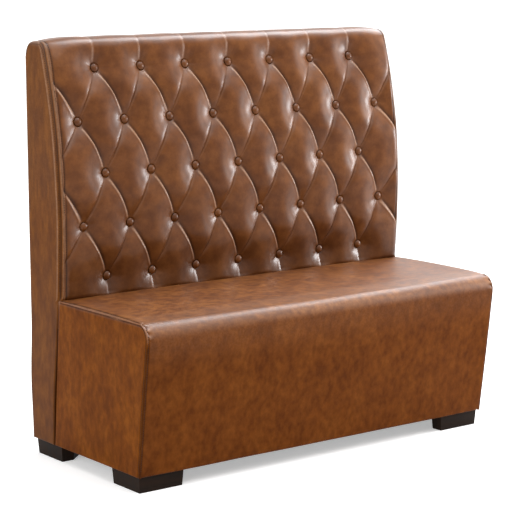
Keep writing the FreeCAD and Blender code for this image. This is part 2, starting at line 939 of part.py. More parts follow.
def back_frame_screws():
    """Screws through the end panels into the rails and the bottom board."""
    places = []
    rail_top = frame_top_height - board_thickness / 2
    bottom_middle = frame_bottom + board_thickness / 2
    seat_rail_low = deck_height - rail_height + frame_screw_margin
    for side in (-1, 1):
        way = FreeCAD.Vector(-side, 0, 0)
        x = side * board_end
        places.append((at(x, frame_rear + frame_screw_margin / 2, rail_top), way))
        places.append((at(x, frame_screw_margin, bottom_middle), way))
        places.append((at(x, joint_bottom_depth - frame_screw_margin / 2, bottom_middle), way))
        for height in (seat_rail_low, deck_height - frame_screw_margin):
            places.append((at(x, joint_depth(height) - board_thickness / 2, height), way))
    return screws_at(places, frame_screw_length, screw_head_height)


def seat_frame_screws():
    """Screws through the side boards into the rear board, and through the front board."""
    places = []
    top = deck_height - deck_thickness
    low = frame_bottom + corner_block_height + frame_screw_margin
    gap = padding_inset + front_padding_thickness
    for side in (-1, 1):
        way = FreeCAD.Vector(-side, 0, 0)
        for height in (low, top - frame_screw_margin):
            places.append((at(side * board_end, joint_depth(height) + board_thickness / 2, height), way))
            x_edge = side * (board_end - board_thickness / 2)
            face_depth = front_line_depth(height, gap) - frame_screw_sink
            places.append((at(x_edge, face_depth, height), REARWARD))
            x_rib = side * seat_rib_spacing / 2
            places.append((at(x_rib, face_depth, height), REARWARD))
            places.append((at(x_rib, joint_depth(height) + frame_screw_sink, height), FORWARD))
    return screws_at(places, frame_screw_length, screw_head_height)


def deck_screws():
    """Screws down through the deck into the side boards and the ribs."""
    places = []
    first = joint_top_depth + 2 * frame_screw_margin
    last = front_bottom_depth - 2 * frame_screw_margin
    for x_middle in (board_end - board_thickness / 2, seat_rib_spacing / 2):
        for side in (-1, 1):
            for depth in (first, (first + last) / 2, last):
                places.append((at(side * x_middle, depth, deck_height), DOWN))
    return screws_at(places, deck_screw_length, screw_head_height)


def outside_back_screws():
    """Short screws that hold the hardboard to the end panels and the ribs."""
    places = []
    ends = [side * (board_end - board_thickness / 2) for side in (-1, 1)]
    ribs = [rib_place(side) for side in (-1, 1)]
    for x in ends + ribs:
        for index in range(board_screw_count):
            height = frame_bottom + 2 * frame_screw_margin + index * board_screw_pitch
            places.append((at(x, cover_thickness, height), FORWARD))
    return screws_at(places, board_screw_length, board_screw_head_height)


def bolt_places():
    """Points on the joint plane where the bolts cross it, and the direction to the front."""
    slope = (joint_top_depth - joint_bottom_depth) / (seat_height - foot_height)
    lean = math.atan(slope)
    forward = FreeCAD.Vector(0, -math.cos(lean), -math.sin(lean))
    xs = [(index - (bolt_count - 1) / 2) * bolt_spacing for index in range(bolt_count)]
    return [(at(x, joint_depth(bolt_height), bolt_height), forward) for x in xs]


def bolt_holes():
    """Holes through both boards for the bolts and the barrels of the tee nuts."""
    holes = []
    for point, forward in bolt_places():
        bore = bolt_diameter / 2 + clearance
        start = point - forward * overrun
        holes.append(Part.makeCylinder(bore, 2 * overrun, start, forward))
        barrel = tee_nut_barrel_diameter / 2 + clearance
        barrel_start = point - forward * (board_thickness + clearance)
        holes.append(Part.makeCylinder(barrel, tee_nut_barrel_length + clearance, barrel_start, forward))
    return holes


def tee_nut_room():
    """Room behind the seat rail for the tee nuts' flanges, cut from a rib that stands there."""
    room = []
    radius = tee_nut_diameter / 2 + clearance
    for point, forward in bolt_places():
        rear = point - forward * board_thickness
        room.append(Part.makeCylinder(radius, tee_nut_flange + clearance, rear, -forward))
    return room


def joining_bolts():
    """Bolts from inside the seat box into the tee nuts behind the seat rail."""
    bolts = []
    for point, forward in bolt_places():
        head_start = point + forward * (board_thickness + bolt_washer_thickness)
        head = Part.makeCylinder(bolt_head_diameter / 2, bolt_head_height, head_start, forward)
        length = 2 * board_thickness + bolt_washer_thickness + tee_nut_flange
        shank = Part.makeCylinder(bolt_diameter / 2, length, head_start - forward * length, forward)
        bolts.append(head.fuse(shank).removeSplitter())
    return Part.makeCompound(bolts)


def joining_washers():
    """A washer under each bolt's head."""
    washers = []
    for point, forward in bolt_places():
        start = point + forward * board_thickness
        disc = Part.makeCylinder(bolt_washer_diameter / 2, bolt_washer_thickness, start, forward)
        bore = Part.makeCylinder(bolt_diameter / 2 + clearance, bolt_washer_thickness, start, forward)
        washers.append(disc.cut(bore))
    return Part.makeCompound(washers)


def joining_tee_nuts():
    """Tee nuts with their flange on the rear of the seat rail and their barrel in it."""
    nuts = []
    for point, forward in bolt_places():
        rear = point - forward * board_thickness
        flange_start = rear - forward * tee_nut_flange
        flange = Part.makeCylinder(tee_nut_diameter / 2, tee_nut_flange, flange_start, forward)
        barrel = Part.makeCylinder(tee_nut_barrel_diameter / 2, tee_nut_barrel_length, rear, forward)
        length = tee_nut_flange + tee_nut_barrel_length
        bore = Part.makeCylinder(bolt_diameter / 2 + clearance / 2, length, flange_start, forward)
        nuts.append(flange.fuse(barrel).cut(bore).removeSplitter())
    return Part.makeCompound(nuts)


# Writing the parts


def write(name, shape):
    """Export one sub-part under its node's name."""
    shape.exportStep("parts/" + name + ".step")
    box = shape.BoundBox
    sizes = (len(shape.Solids), shape.isValid(), box.XLength, box.YLength, box.ZLength)
    print("%s solids %d valid %s size %.1f %.1f %.1f" % (name, *sizes))


def write_frame():
    """Boards of the seat box and of the back, with the holes of their fasteners."""
    foot_holes = foot_screws()[1]
    seat_holes = seat_frame_screws()[1]
    back_holes = back_frame_screws()[1]
    deck_holes = deck_screws()[1]
    outside_holes = outside_back_screws()[1]
    joining_holes = bolt_holes()
    write("seat_front_board", seat_front_board().cut(seat_holes))
    write("seat_rear_board", seat_rear_board().cut(seat_holes + joining_holes))
    write("seat_deck", seat_deck().cut(deck_holes))
    write("back_top_rail", back_top_rail().cut(back_holes))
    write("back_seat_rail", back_seat_rail().cut(back_holes + joining_holes))
    write("back_bottom_board", back_bottom_board().cut(back_holes + foot_holes))
    write("back_front_panel", back_front_panel())
    write("outside_back_board", outside_back_board().cut(outside_holes))
    for side, name in ((-1, "left"), (1, "right")):
        write("seat_side_board_" + name, seat_side_board(side).cut(seat_holes + deck_holes + foot_holes))
        write("seat_rib_" + name, seat_rib(side).cut(seat_holes + deck_holes))
        write("corner_block_" + name, corner_block(side).cut(foot_holes))
        write("back_end_panel_" + name, back_end_panel(side).cut(back_holes + outside_holes + foot_holes))
        write("back_rib_" + name, back_rib(side).cut(outside_holes + joining_holes + tee_nut_room()))


def write_padding():
    """Foam pieces."""
    write("seat_foam", seat_foam())
    write("seat_front_padding", seat_front_padding())
    write("back_foam", back_foam())
    for side, name in ((-1, "left"), (1, "right")):
        write("seat_side_padding_" + name, seat_side_padding(side))
        write("back_side_padding_" + name, back_side_padding(side))


def write_covers():
    """Cover panels, buttons and what ties the buttons."""
    write("seat_cover", seat_cover())
    write("outside_back_cover", outside_back_cover())
    write("dust_cover", dust_cover())
    for side, name in ((-1, "left"), (1, "right")):
        write("seat_side_cover_" + name, seat_side_cover(side))
        write("back_side_cover_" + name, back_side_cover(side))
    for row in range(row_count):
        write("back_buttons_row_" + str(row + 1), button_row(row))
    write("button_twines", button_twines())
    write("button_washers", button_washers())
    write("back_tufted_cover", back_tufted_cover())


def write_feet():
    """The four corner feet."""
    for end, place in ((1, "front"), (-1, "rear")):
        for side, name in ((-1, "left"), (1, "right")):
            write("foot_" + place + "_" + name, foot(end, side))


def write_fasteners():
    """Screws, bolts, washers and tee nuts."""
    write("foot_screws", Part.makeCompound(foot_screws()[0]))
    write("seat_frame_screws", Part.makeCompound(seat_frame_screws()[0]))
    write("deck_screws", Part.makeCompound(deck_screws()[0]))
    write("back_frame_screws", Part.makeCompound(back_frame_screws()[0]))
    write("outside_back_screws", Part.makeCompound(outside_back_screws()[0]))
    write("joining_bolts", joining_bolts())
    write("joining_washers", joining_washers())
    write("joining_tee_nuts", joining_tee_nuts())


os.makedirs("parts", exist_ok=True)
write_frame()
write_padding()
write_feet()
write_fasteners()
write_covers()
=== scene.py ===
import bmesh
import bpy
import json
import math
import numpy as np
from mathutils import Matrix, Vector
from mathutils.bvhtree import BVHTree


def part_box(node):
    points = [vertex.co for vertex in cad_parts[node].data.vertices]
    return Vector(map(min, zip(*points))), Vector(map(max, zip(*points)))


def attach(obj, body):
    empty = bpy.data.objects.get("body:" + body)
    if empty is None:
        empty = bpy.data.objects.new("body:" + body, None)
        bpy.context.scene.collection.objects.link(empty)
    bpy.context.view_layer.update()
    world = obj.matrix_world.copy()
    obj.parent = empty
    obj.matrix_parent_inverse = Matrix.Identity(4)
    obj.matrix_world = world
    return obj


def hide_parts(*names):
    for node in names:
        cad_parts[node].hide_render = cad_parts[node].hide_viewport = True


# Looks of a restaurant booth bench in brown distressed vinyl. Metres, +Z up, +Y to the rear.
# A depth is measured forward from the rear face of the bench and a height from the floor.

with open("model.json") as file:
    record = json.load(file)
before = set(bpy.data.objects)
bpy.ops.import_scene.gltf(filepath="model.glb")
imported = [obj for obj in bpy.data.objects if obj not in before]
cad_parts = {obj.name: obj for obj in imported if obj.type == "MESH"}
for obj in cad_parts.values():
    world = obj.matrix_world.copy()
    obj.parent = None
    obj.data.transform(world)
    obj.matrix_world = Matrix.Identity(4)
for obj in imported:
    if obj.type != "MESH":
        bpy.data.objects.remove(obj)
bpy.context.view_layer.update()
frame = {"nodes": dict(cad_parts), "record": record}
SCENE = bpy.context.scene

# Outer form, the same as in the CAD source
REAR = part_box("outside_back_cover")[1].y
HALF_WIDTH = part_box("seat_side_cover_right")[1].x
COVER_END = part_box("seat_cover")[1].x
BOARD_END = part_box("seat_deck")[1].x
FRONT_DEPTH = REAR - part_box("seat_cover")[0].y
FRAME_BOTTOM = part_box("seat_cover")[0].z
SEAT_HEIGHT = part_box("seat_side_cover_right")[1].z
DECK_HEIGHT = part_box("seat_deck")[1].z
SEAM_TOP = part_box("back_side_cover_right")[1].z
REAR_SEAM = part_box("outside_back_cover")[1].z
REAR_COVER_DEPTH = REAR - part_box("outside_back_cover")[0].y
BOARD_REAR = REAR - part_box("outside_back_board")[0].y
PANEL_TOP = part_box("back_front_panel")[1].z
DUST_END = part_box("dust_cover")[1].x
DUST_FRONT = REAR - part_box("dust_cover")[0].y
DUST_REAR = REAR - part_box("dust_cover")[1].y
NOSE_RADIUS = 0.040
FRONT_CROWN = 0.008
FRONT_BOTTOM = 0.536
SEAT_CROWN = 0.007
SEAT_EDGE_CROWN = 0.0015
FRONT_PADDING = 0.012
JOINT_BOTTOM = 0.112
JOINT_TOP = 0.150
BACK_LOW = 0.158
BACK_FULL = 0.168
BACK_FULL_HEIGHT = 0.690
BACK_TOP = 0.092
TOP_FRONT_RADIUS = 0.034
TOP_REAR_RADIUS = SEAM_TOP - REAR_SEAM
PANEL_LOW = 0.100
PANEL_FULL = 0.106
PANEL_UPPER = 0.046
FOOT_PLAN = (0.141, 0.131, 0.042)
BOTTOM_EDGE_RADIUS = 0.006

# Stitches, the painted shade beside them, and the wear and painted highlight along the edges
STITCH_PITCH = 0.0064
STITCH_LENGTH = 0.0044
STITCH_RADIUS = 0.0009
STITCH_INSET = 0.0042
BACK_STITCH_INSET = 0.0055
EDGE_STITCH_INSET = 0.0065
STITCH_DIP = 0.0011
STITCH_DIP_WIDTH = 0.0026
STITCH_SHADE = 0.72
STITCH_SHADE_REACH = 0.0018
EDGE_WEAR_AND_HIGHLIGHT = 0.38
EDGE_WEAR_AND_HIGHLIGHT_REACH = 0.0025

# Seat cover and its simulation
CLOTH_FRAMES = 20
CLOTH_STIFFNESS = 25.0
CLOTH_PRESSURE = 4.0
SWELL_INSET = 0.004
SWELL_CAP = 0.0055
PUCKER_HEIGHT = 0.0028
PUCKER_REACH = 0.012
PUCKER_WAVES = 13

# Tufting; a share counts across one pillow
HALF_PITCH = 0.0754
BOTTOM_ROW = 0.511
ROW_PITCH = 0.1436
LAST_ROW = 4
LAST_COLUMN = 7
SIDE_STRETCH = 0.72
PLEAT_DEPTH = 0.012
PLEAT_BOW = 0.05
PILLOW_RISE = 0.0225
TOP_PLEAT_RISE = 0.0030
TOP_PILLOW_RISE = 0.0060
GENTLE_SIDE = (2.6, 0.75)
STEEP_SIDE = (7, 0.5)
CREASE_SIDE = (8, 0.7)
FOLD_LEVEL = 0.30
CREASE_LEVEL = 0.55
OPEN_LEVEL = 0.76
OPEN_REACH = 0.040
FOLD_HEIGHT = 0.0018
FOLD_SHARE = 0.060
POCKET_RADIUS = 0.0115
POCKET_REACH = 0.034
POCKET_END = 0.105
BACK_LIFT = 0.002

# Side seam of the back: how far it stands in, and over what reach
EDGE_IN = 0.0120
EDGE_REACH = 0.016


# Curves and unevenness


def at(x, depth, height):
    """A point from its place across, its depth from the rear face and its height."""
    return (x, REAR - depth, height)


def smooth_step(value):
    """Smooth rise from 0 to 1 over the same range."""
    share = np.clip(value, 0, 1)
    return share * share * (3 - 2 * share)


def bell(distance, reach):
    """1 at no distance, and close to 0 beyond twice the reach."""
    return np.exp(-(distance / reach) ** 2)


def hump(value, flatness, fullness):
    """1 at a value of 0 and 0 at 1, with a flat middle and a full edge."""
    return np.maximum(1 - value ** flatness, 0) ** fullness


def quarter_round(distance, radius):
    """How far a rounded edge of this radius has dropped at a distance from its end."""
    reach = np.clip(distance, 0, radius) - radius
    return radius - np.sqrt(radius * radius - reach * reach)


def wander(x, y, seed, reach):
    """Smooth seeded unevenness between about -1 and 1 that changes over the given reach."""
    rng = np.random.default_rng(seed)
    waves, usual_peak, total = 9, 1.5, 0
    for _ in range(waves):
        angle = rng.uniform(0, 2 * math.pi)
        turns = rng.uniform(0.5, 1.5) * 2 * math.pi / reach
        phase = rng.uniform(0, 2 * math.pi)
        total = total + np.sin((x * math.cos(angle) + y * math.sin(angle)) * turns + phase)
    return total / math.sqrt(waves) / usual_peak


def smoothed(values, passes):
    """A grid of values evened out with its neighbours a number of times."""
    for _ in range(passes):
        for axis in (0, 1):
            wide = np.moveaxis(values, axis, 0)
            wide = np.concatenate([wide[:1], wide, wide[-1:]])
            values = np.moveaxis((wide[:-2] + 2 * wide[1:-1] + wide[2:]) / 4, 0, axis)
    return values


def line_lengths(line):
    """Length along a line of points up to each of them."""
    return np.concatenate([[0], np.cumsum(np.linalg.norm(np.diff(line, axis=0), axis=1))])


def arc_points(centre, radius, first, last, step):
    """Depth and height points along a circular arc, from one angle to another."""
    angles = np.linspace(first, last, int(abs(last - first) * radius / step) + 1)
    return [(centre[0] + radius * math.cos(a), centre[1] + radius * math.sin(a)) for a in angles]


def resample(points, count):
    """A number of evenly spaced points along a line of depth and height points."""
    line = np.array(points)
    lengths = line_lengths(line)
    keep = np.concatenate([[True], np.diff(lengths) > 0])
    line, lengths = line[keep], lengths[keep]
    places = np.linspace(0, lengths[-1], count)
    return np.column_stack([np.interp(places, lengths, column) for column in line.T])


def normals(line):
    """Outward normals of a line that runs up the front and back over the top."""
    slope = np.gradient(line, axis=0)
    slope /= np.hypot(slope[:, 0], slope[:, 1])[:, None]
    return np.column_stack([slope[:, 1], -slope[:, 0]])


# Pieces


def new_object(name, data):
    """An object in the scene for a mesh, a lamp or a camera."""
    thing = bpy.data.objects.new(name, data)
    SCENE.collection.objects.link(thing)
    return thing


def closed_mesh(name, points, faces):
    """A mesh whose faces all look outward."""
    mesh = bpy.data.meshes.new(name)
    mesh.from_pydata([tuple(p) for p in points], [], faces)
    mesh.validate()
    shape = bmesh.new()
    shape.from_mesh(mesh)
    bmesh.ops.recalc_face_normals(shape, faces=shape.faces)
    shape.to_mesh(mesh)
    shape.free()
    return mesh


def mesh_piece(name, points, faces, replaced, material, wear_and_painted_light=None):
    """A smooth-shaded piece from points and faces that rides on the bench.

    The wear given for each point also carries painted light: up to 1 where the cover is rubbed pale and
    where highlights are painted, down to -1 where shade is painted.
    """
    mesh = closed_mesh(name, points, faces)
    if wear_and_painted_light is not None:
        pale_and_dark_marks = mesh.attributes.new("wear_and_painted_light", "FLOAT", "POINT")
        pale_and_dark_marks.data.foreach_set("value", np.asarray(wear_and_painted_light, np.float32))
    mesh.shade_smooth()
    mesh.materials.append(material)
    piece = new_object(name, mesh)
    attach(piece, "root")
    if replaced:
        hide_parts(*replaced)
    return piece


def ring_loft(rings):
    """Points and faces of a closed body through closed rings of as many points each."""
    count = len(rings[0])
    points = np.concatenate(rings)
    faces = []
    for low in range(0, len(points) - count, count):
        for index in range(count):
            after = (index + 1) % count
            faces.append((low + index, low + after, low + count + after, low + count + index))
    faces.append(tuple(reversed(range(count))))
    faces.append(tuple(range(len(points) - count, len(points))))
    return points, faces


def skin_faces(rows, columns):
    """Faces of a closed body between two skins of rows and columns of points."""
    faces = []
    size = rows * columns
    for row in range(rows - 1):
        for column in range(columns - 1):
            a = row * columns + column
            faces.append((a, a + columns, a + columns + 1, a + 1))
            faces.append((size + a + 1, size + a + columns + 1, size + a + columns, size + a))
    rim = [row * columns for row in range(rows - 1)]
    rim += [(rows - 1) * columns + column for column in range(columns - 1)]
    rim += [row * columns + columns - 1 for row in range(rows - 1, 0, -1)]
    rim += list(range(columns - 1, 0, -1))
    for a, b in zip(rim, rim[1:] + rim[:1]):
        faces.append((a, size + a, size + b, b))
    return faces


# Side view of the back


def curve_radius(drop, reach):
    """Radius of the arc that falls back by drop over a height of reach."""
    return (drop * drop + reach * reach) / (2 * drop)


LOW_RADIUS = curve_radius(BACK_FULL - BACK_LOW, BACK_FULL_HEIGHT - SEAT_HEIGHT)
TOP_RADIUS = curve_radius(BACK_FULL - BACK_TOP, SEAM_TOP - BACK_FULL_HEIGHT)
CORNER_HEIGHT = SEAM_TOP - TOP_FRONT_RADIUS
CORNER_ANGLE = math.asin((CORNER_HEIGHT - BACK_FULL_HEIGHT) / (TOP_RADIUS - TOP_FRONT_RADIUS))
CORNER_DEPTH = BACK_FULL - TOP_RADIUS + (TOP_RADIUS - TOP_FRONT_RADIUS) * math.cos(CORNER_ANGLE)
CORNER_START = CORNER_HEIGHT + TOP_FRONT_RADIUS * math.sin(CORNER_ANGLE)


def back_depth(height):
    """Depth of the back's front at its side seams."""
    height = np.asarray(height, float)
    radius = np.where(height < BACK_FULL_HEIGHT, LOW_RADIUS, TOP_RADIUS)
    reach = height - BACK_FULL_HEIGHT
    curve = BACK_FULL - radius + np.sqrt(np.maximum(radius ** 2 - reach ** 2, 0))
    corner = CORNER_DEPTH + TOP_FRONT_RADIUS - quarter_round(SEAM_TOP - height, TOP_FRONT_RADIUS)
    return np.where(height > CORNER_START, corner, curve)


def rear_depth(height):
    """Depth of the rear edge of the back's side, with its rounded top."""
    return quarter_round(SEAM_TOP - height, TOP_REAR_RADIUS)


def joint_depth(height):
    """Depth of the sloping joint between the seat box and the back."""
    share = (height - FRAME_BOTTOM) / (SEAT_HEIGHT - FRAME_BOTTOM)
    return JOINT_BOTTOM + (JOINT_TOP - JOINT_BOTTOM) * share


def panel_depth(height):
    """Depth of the front of the bent panel that carries the tufting."""
    low = height < BACK_FULL_HEIGHT
    span = np.where(low, BACK_FULL_HEIGHT - DECK_HEIGHT, PANEL_TOP - BACK_FULL_HEIGHT)
    drop = np.where(low, PANEL_FULL - PANEL_LOW, PANEL_FULL - PANEL_UPPER)
    return PANEL_FULL - drop * ((height - BACK_FULL_HEIGHT) / span) ** 2


def back_profile(step):
    """Line of the back from the seat, up the front and over the top, and its length to the corner."""
    heights = np.linspace(SEAT_HEIGHT + BACK_LIFT, CORNER_START, 300)
    front = [(float(back_depth(h)), h) for h in heights]
    corner_centre, rear_centre = (CORNER_DEPTH, CORNER_HEIGHT), (TOP_REAR_RADIUS, REAR_SEAM)
    corner = arc_points(corner_centre, TOP_FRONT_RADIUS, CORNER_ANGLE, math.pi / 2, step / 4)
    rear = arc_points(rear_centre, TOP_REAR_RADIUS, math.pi / 2, math.pi, step / 4)
    to_corner = line_lengths(np.array(front))[-1]
    length = to_corner + CORNER_DEPTH + TOP_REAR_RADIUS
    return resample(front + corner + rear, int(length / step)), to_corner


# Tufting


def tuft_share(x, height):
    """Share of the full rise of the tufted face over its buttons, the lip of its folds, and their wear and
    painted light and shade.

    A pillow rises gently from one falling pleat and ends at the next in a steep fold. The rising
    pleats are narrow creases.
    """
    column = x / HALF_PITCH
    over = np.maximum(np.abs(column) - LAST_COLUMN, 0)
    column = np.sign(column) * (np.abs(column) - over * (1 - SIDE_STRETCH))
    row = np.clip((height - BOTTOM_ROW) / ROW_PITCH, 0, LAST_ROW)
    rising = (column - row) / 2 % 1
    middle = 4 * rising * (1 - rising)
    falling = (column + row) / 2 - PLEAT_BOW * middle * (0.5 + 0.5 * np.sign(LAST_ROW - row))
    falling %= 1
    gentle = hump(np.abs(np.minimum(2 * falling - 1, 0)), *GENTLE_SIDE)
    fold = gentle * hump(np.maximum(2 * falling - 1, 0), *STEEP_SIDE)
    flat = hump(np.abs(2 * rising - 1), *CREASE_SIDE)
    share = FOLD_LEVEL * flat + CREASE_LEVEL * fold + (1 - FOLD_LEVEL - CREASE_LEVEL) * fold * flat
    lip = bell(1 - falling - FOLD_SHARE, FOLD_SHARE / 2) * middle
    # The fold crests and, faintly, the rising creases are painted pale, partly as stretch wear and partly
    # as a painted highlight; the pleats beside the folds get painted shade
    wear_and_painted_light = bell(1 - falling - 0.6 * FOLD_SHARE, 0.022) * middle ** 0.5
    wear_and_painted_light += 0.10 * bell(rising - 0.025, 0.012)
    wear_and_painted_light -= 0.65 * bell(falling - 0.015, 0.035) * middle ** 0.5
    # Outside the rows of buttons the pleats run straight on and open out
    top_row = BOTTOM_ROW + LAST_ROW * ROW_PITCH
    outside = np.maximum(np.maximum(height - top_row, BOTTOM_ROW - height), 0)
    open_level = OPEN_LEVEL * smooth_step(outside / OPEN_REACH)
    return open_level + (1 - open_level) * share, lip, wear_and_painted_light


def button_places():
    """Place across and height of every button."""
    rows, steps = range(LAST_ROW + 1), range(-LAST_COLUMN, LAST_COLUMN + 1)
    grid = [(step, row) for row in rows for step in steps if (step - row) % 2 == 0]
    return [(step * HALF_PITCH, BOTTOM_ROW + row * ROW_PITCH) for step, row in grid]


def around_buttons(x, height):
    """Distance to the nearest button, how far the buttons draw the face in, and the folds round them."""
    fold_height, fold_reach, first_seed = 0.00025, 0.036, 100
    nearest = np.full(np.broadcast(x, height).shape, np.inf)
    drawn, folds = np.zeros((2, *nearest.shape))
    for index, (button_x, button_z) in enumerate(button_places()):
        reach = np.hypot(x - button_x, height - button_z)
        nearest = np.minimum(nearest, reach)
        near = reach < POCKET_END
        ring = reach[near]
        outside = np.maximum(ring - POCKET_RADIUS, 0)
        fade = 1 - smooth_step((ring - POCKET_END / 2) / (POCKET_END / 2))
        drawn[near] += np.exp(-outside / POCKET_REACH) * fade
        angle = np.arctan2(height - button_z, x - button_x)[near]
        rng = np.random.default_rng(first_seed + index)
        waves = np.zeros(ring.shape)
        for lobes in (5, 8, 11):
            waves += np.sin(lobes * angle + rng.uniform(0, 2 * math.pi)) * rng.uniform(0.5, 1)
        folds[near] += fold_height * waves * smooth_step(outside / POCKET_RADIUS) * bell(ring, fold_reach)
    return nearest, np.minimum(drawn, 1), folds


def stitch_dip(distance):
    """How far a row of stitches draws the cover down at a distance from the row."""
    return STITCH_DIP * bell(distance, STITCH_DIP_WIDTH)


def edge_wear_and_highlight(distance):
    """Paleness of the cover along an edge at a distance from it: partly wear, partly a painted highlight on
    the rounded edge.
    """
    return EDGE_WEAR_AND_HIGHLIGHT * bell(distance, EDGE_WEAR_AND_HIGHLIGHT_REACH)


def stitch_shade(distance):
    """Painted shade of the cover along a row of stitches at a distance from the row."""
    return STITCH_SHADE * bell(distance, STITCH_SHADE_REACH)


def tufted_face(x, height, lengths, to_corner, faded, from_end):
    """How far the tufted face stands out from its profile, and its wear and painted light and shade, at
    places on it.
    """
    unevenness, uneven_reach = 0.0006, 0.11
    gap_depth, gap_end, gap_slope = 0.003, 0.0142, 0.0022
    bottom_level, bottom_reach, bottom_radius = 0.004, 0.014, 0.003
    shoulder_reach, top_shoulder_reach = 0.022, 0.100
    seam_level = -0.0010
    shade_top, shade_reach = 0.66, 0.2
    # Along the profile: pleats lie low on the front and high on the top
    corner_length = TOP_FRONT_RADIUS * (math.pi / 2 - CORNER_ANGLE)
    turned = smooth_step((lengths - to_corner + corner_length) / (2 * corner_length))
    pleat = -PLEAT_DEPTH + (PLEAT_DEPTH + TOP_PLEAT_RISE) * turned
    rise = PILLOW_RISE + (TOP_PILLOW_RISE - PILLOW_RISE) * turned
    share, lip, wear_and_painted_light = tuft_share(x, height)
    nearest, drawn, folds = around_buttons(x, height)
    raised = rise * share + FOLD_HEIGHT * lip * (1 - turned)
    field = pleat + raised * (1 - drawn) + folds * (1 - turned)
    field += unevenness * wander(x, lengths, 3, uneven_reach) * share
    field *= 1 - faded
    # A narrow gap shows round each button
    field -= gap_depth * smooth_step((gap_end - nearest) / gap_slope)
    # The bottom evens out and tucks in against the seat
    field = bottom_level + (field - bottom_level) * smooth_step(lengths / bottom_reach + 0.15)
    field -= quarter_round(lengths, bottom_radius)
    # The face comes down to the side seams
    reach = shoulder_reach + (top_shoulder_reach - shoulder_reach) * turned
    shoulder = (1 - (1 - np.clip(from_end / reach, 0, 1)) ** 2) ** (0.5 + 0.35 * turned)
    field = seam_level + (field - seam_level) * shoulder
    field -= stitch_dip(from_end - BACK_STITCH_INSET)
    wear_and_painted_light = wear_and_painted_light * (1 - 0.5 * turned) * smooth_step((nearest - 0.012) / 0.012) * shoulder
    # Pale along the side seam, partly wear and partly a painted highlight, with painted shade along the
    # stitches
    wear_and_painted_light += edge_wear_and_highlight(from_end) - stitch_shade(from_end - BACK_STITCH_INSET)
    # Painted shade: the lower tufts get darker towards the seat
    wear_and_painted_light -= 0.30 * smooth_step((shade_top - height) / shade_reach)
    return field, wear_and_painted_light


def make_tufted_back(material):
    """Tufted cushion of the back, from the seat over the top to the seam at the rear."""
    step, side_gap = 0.0019, 0.0006
    line, to_corner = back_profile(step)
    out = normals(line)
    lengths = line_lengths(line)
    rear_start = lengths[-1] - TOP_REAR_RADIUS * math.pi / 2
    faded = smooth_step((lengths - rear_start) / (lengths[-1] - rear_start))
    front_end = HALF_WIDTH - EDGE_IN - side_gap
    ends = front_end + (COVER_END - HALF_WIDTH + EDGE_IN) * faded
    shares = np.linspace(-1, 1, int(2 * COVER_END / step))
    x = shares[:, None] * ends
    height = np.broadcast_to(line[:, 1], x.shape)
    field, face_wear_and_painted_light = tufted_face(x, height, lengths, to_corner, faded, ends - np.abs(x))
    depth = line[:, 0] + field * out[:, 0]
    rises = line[:, 1] + field * out[:, 1]
    top = SEAM_TOP - FRONT_PADDING
    inner = [(BOARD_REAR, REAR_SEAM), (BOARD_REAR, top), (PANEL_UPPER, top)]
    inner += [(float(panel_depth(h)), h) for h in np.linspace(PANEL_TOP, SEAT_HEIGHT + BACK_LIFT, 60)]
    rings, wear_and_painted_light = [], []
    for column, place in enumerate(shares * ends[0]):
        ring = [at(*point) for point in zip(x[column], depth[column], rises[column])]
        ring += [at(place, d, z) for d, z in inner]
        rings.append(np.array(ring))
        wear_and_painted_light += list(face_wear_and_painted_light[column]) + [0] * len(inner)
    points, faces = ring_loft(rings)
    replaced = ["back_tufted_cover", "back_foam"]
    return mesh_piece("tufted_back", points, faces, replaced, material, wear_and_painted_light)


# Seat


def front_lean(centre_depth):
    """Angle at which the raked front meets its rounded top edge."""
    rise = SEAT_HEIGHT - NOSE_RADIUS - FRAME_BOTTOM
    run = centre_depth - FRONT_BOTTOM
    return math.atan2(rise, run) - math.asin(NOSE_RADIUS / math.hypot(run, rise)) - math.pi / 2


def seat_section(share, inset):
    """Depth and height points of the seat's outside, from the bottom of its front to its rear."""
    centre_depth = FRONT_DEPTH - NOSE_RADIUS - FRONT_CROWN * (1 - share)
    lean = front_lean(centre_depth)
    centre = (centre_depth, SEAT_HEIGHT - NOSE_RADIUS)
    nose = arc_points(centre, NOSE_RADIUS - inset, lean, math.pi / 2, 0.002)
    start = (nose[0][0] + (nose[0][1] - FRAME_BOTTOM) * math.tan(lean), FRAME_BOTTOM)
    rear_end = joint_depth(SEAT_HEIGHT)
    crown = SEAT_EDGE_CROWN + (SEAT_CROWN - SEAT_EDGE_CROWN) * share
    top = []
    for part in np.linspace(0, 1, 60)[1:]:
        depth = centre_depth + (rear_end - centre_depth) * part
        top.append((depth, SEAT_HEIGHT - inset + crown * 4 * part * (1 - part)))
    return [start] + nose + top


def seat_inside(front, share):
    """Depth and height points of the seat cushion's inner side, from its rear to its front."""
    gap, rear_height = 0.0005, SEAT_HEIGHT - 0.02
    lean = front_lean(FRONT_DEPTH - NOSE_RADIUS - FRONT_CROWN * (1 - share))
    inner_front = front - FRONT_PADDING
    return [
        (joint_depth(rear_height), rear_height),
        (joint_depth(DECK_HEIGHT) + gap, DECK_HEIGHT + gap),
        (inner_front - (DECK_HEIGHT - FRAME_BOTTOM) * math.tan(lean), DECK_HEIGHT + gap),
        (inner_front, FRAME_BOTTOM),
    ]


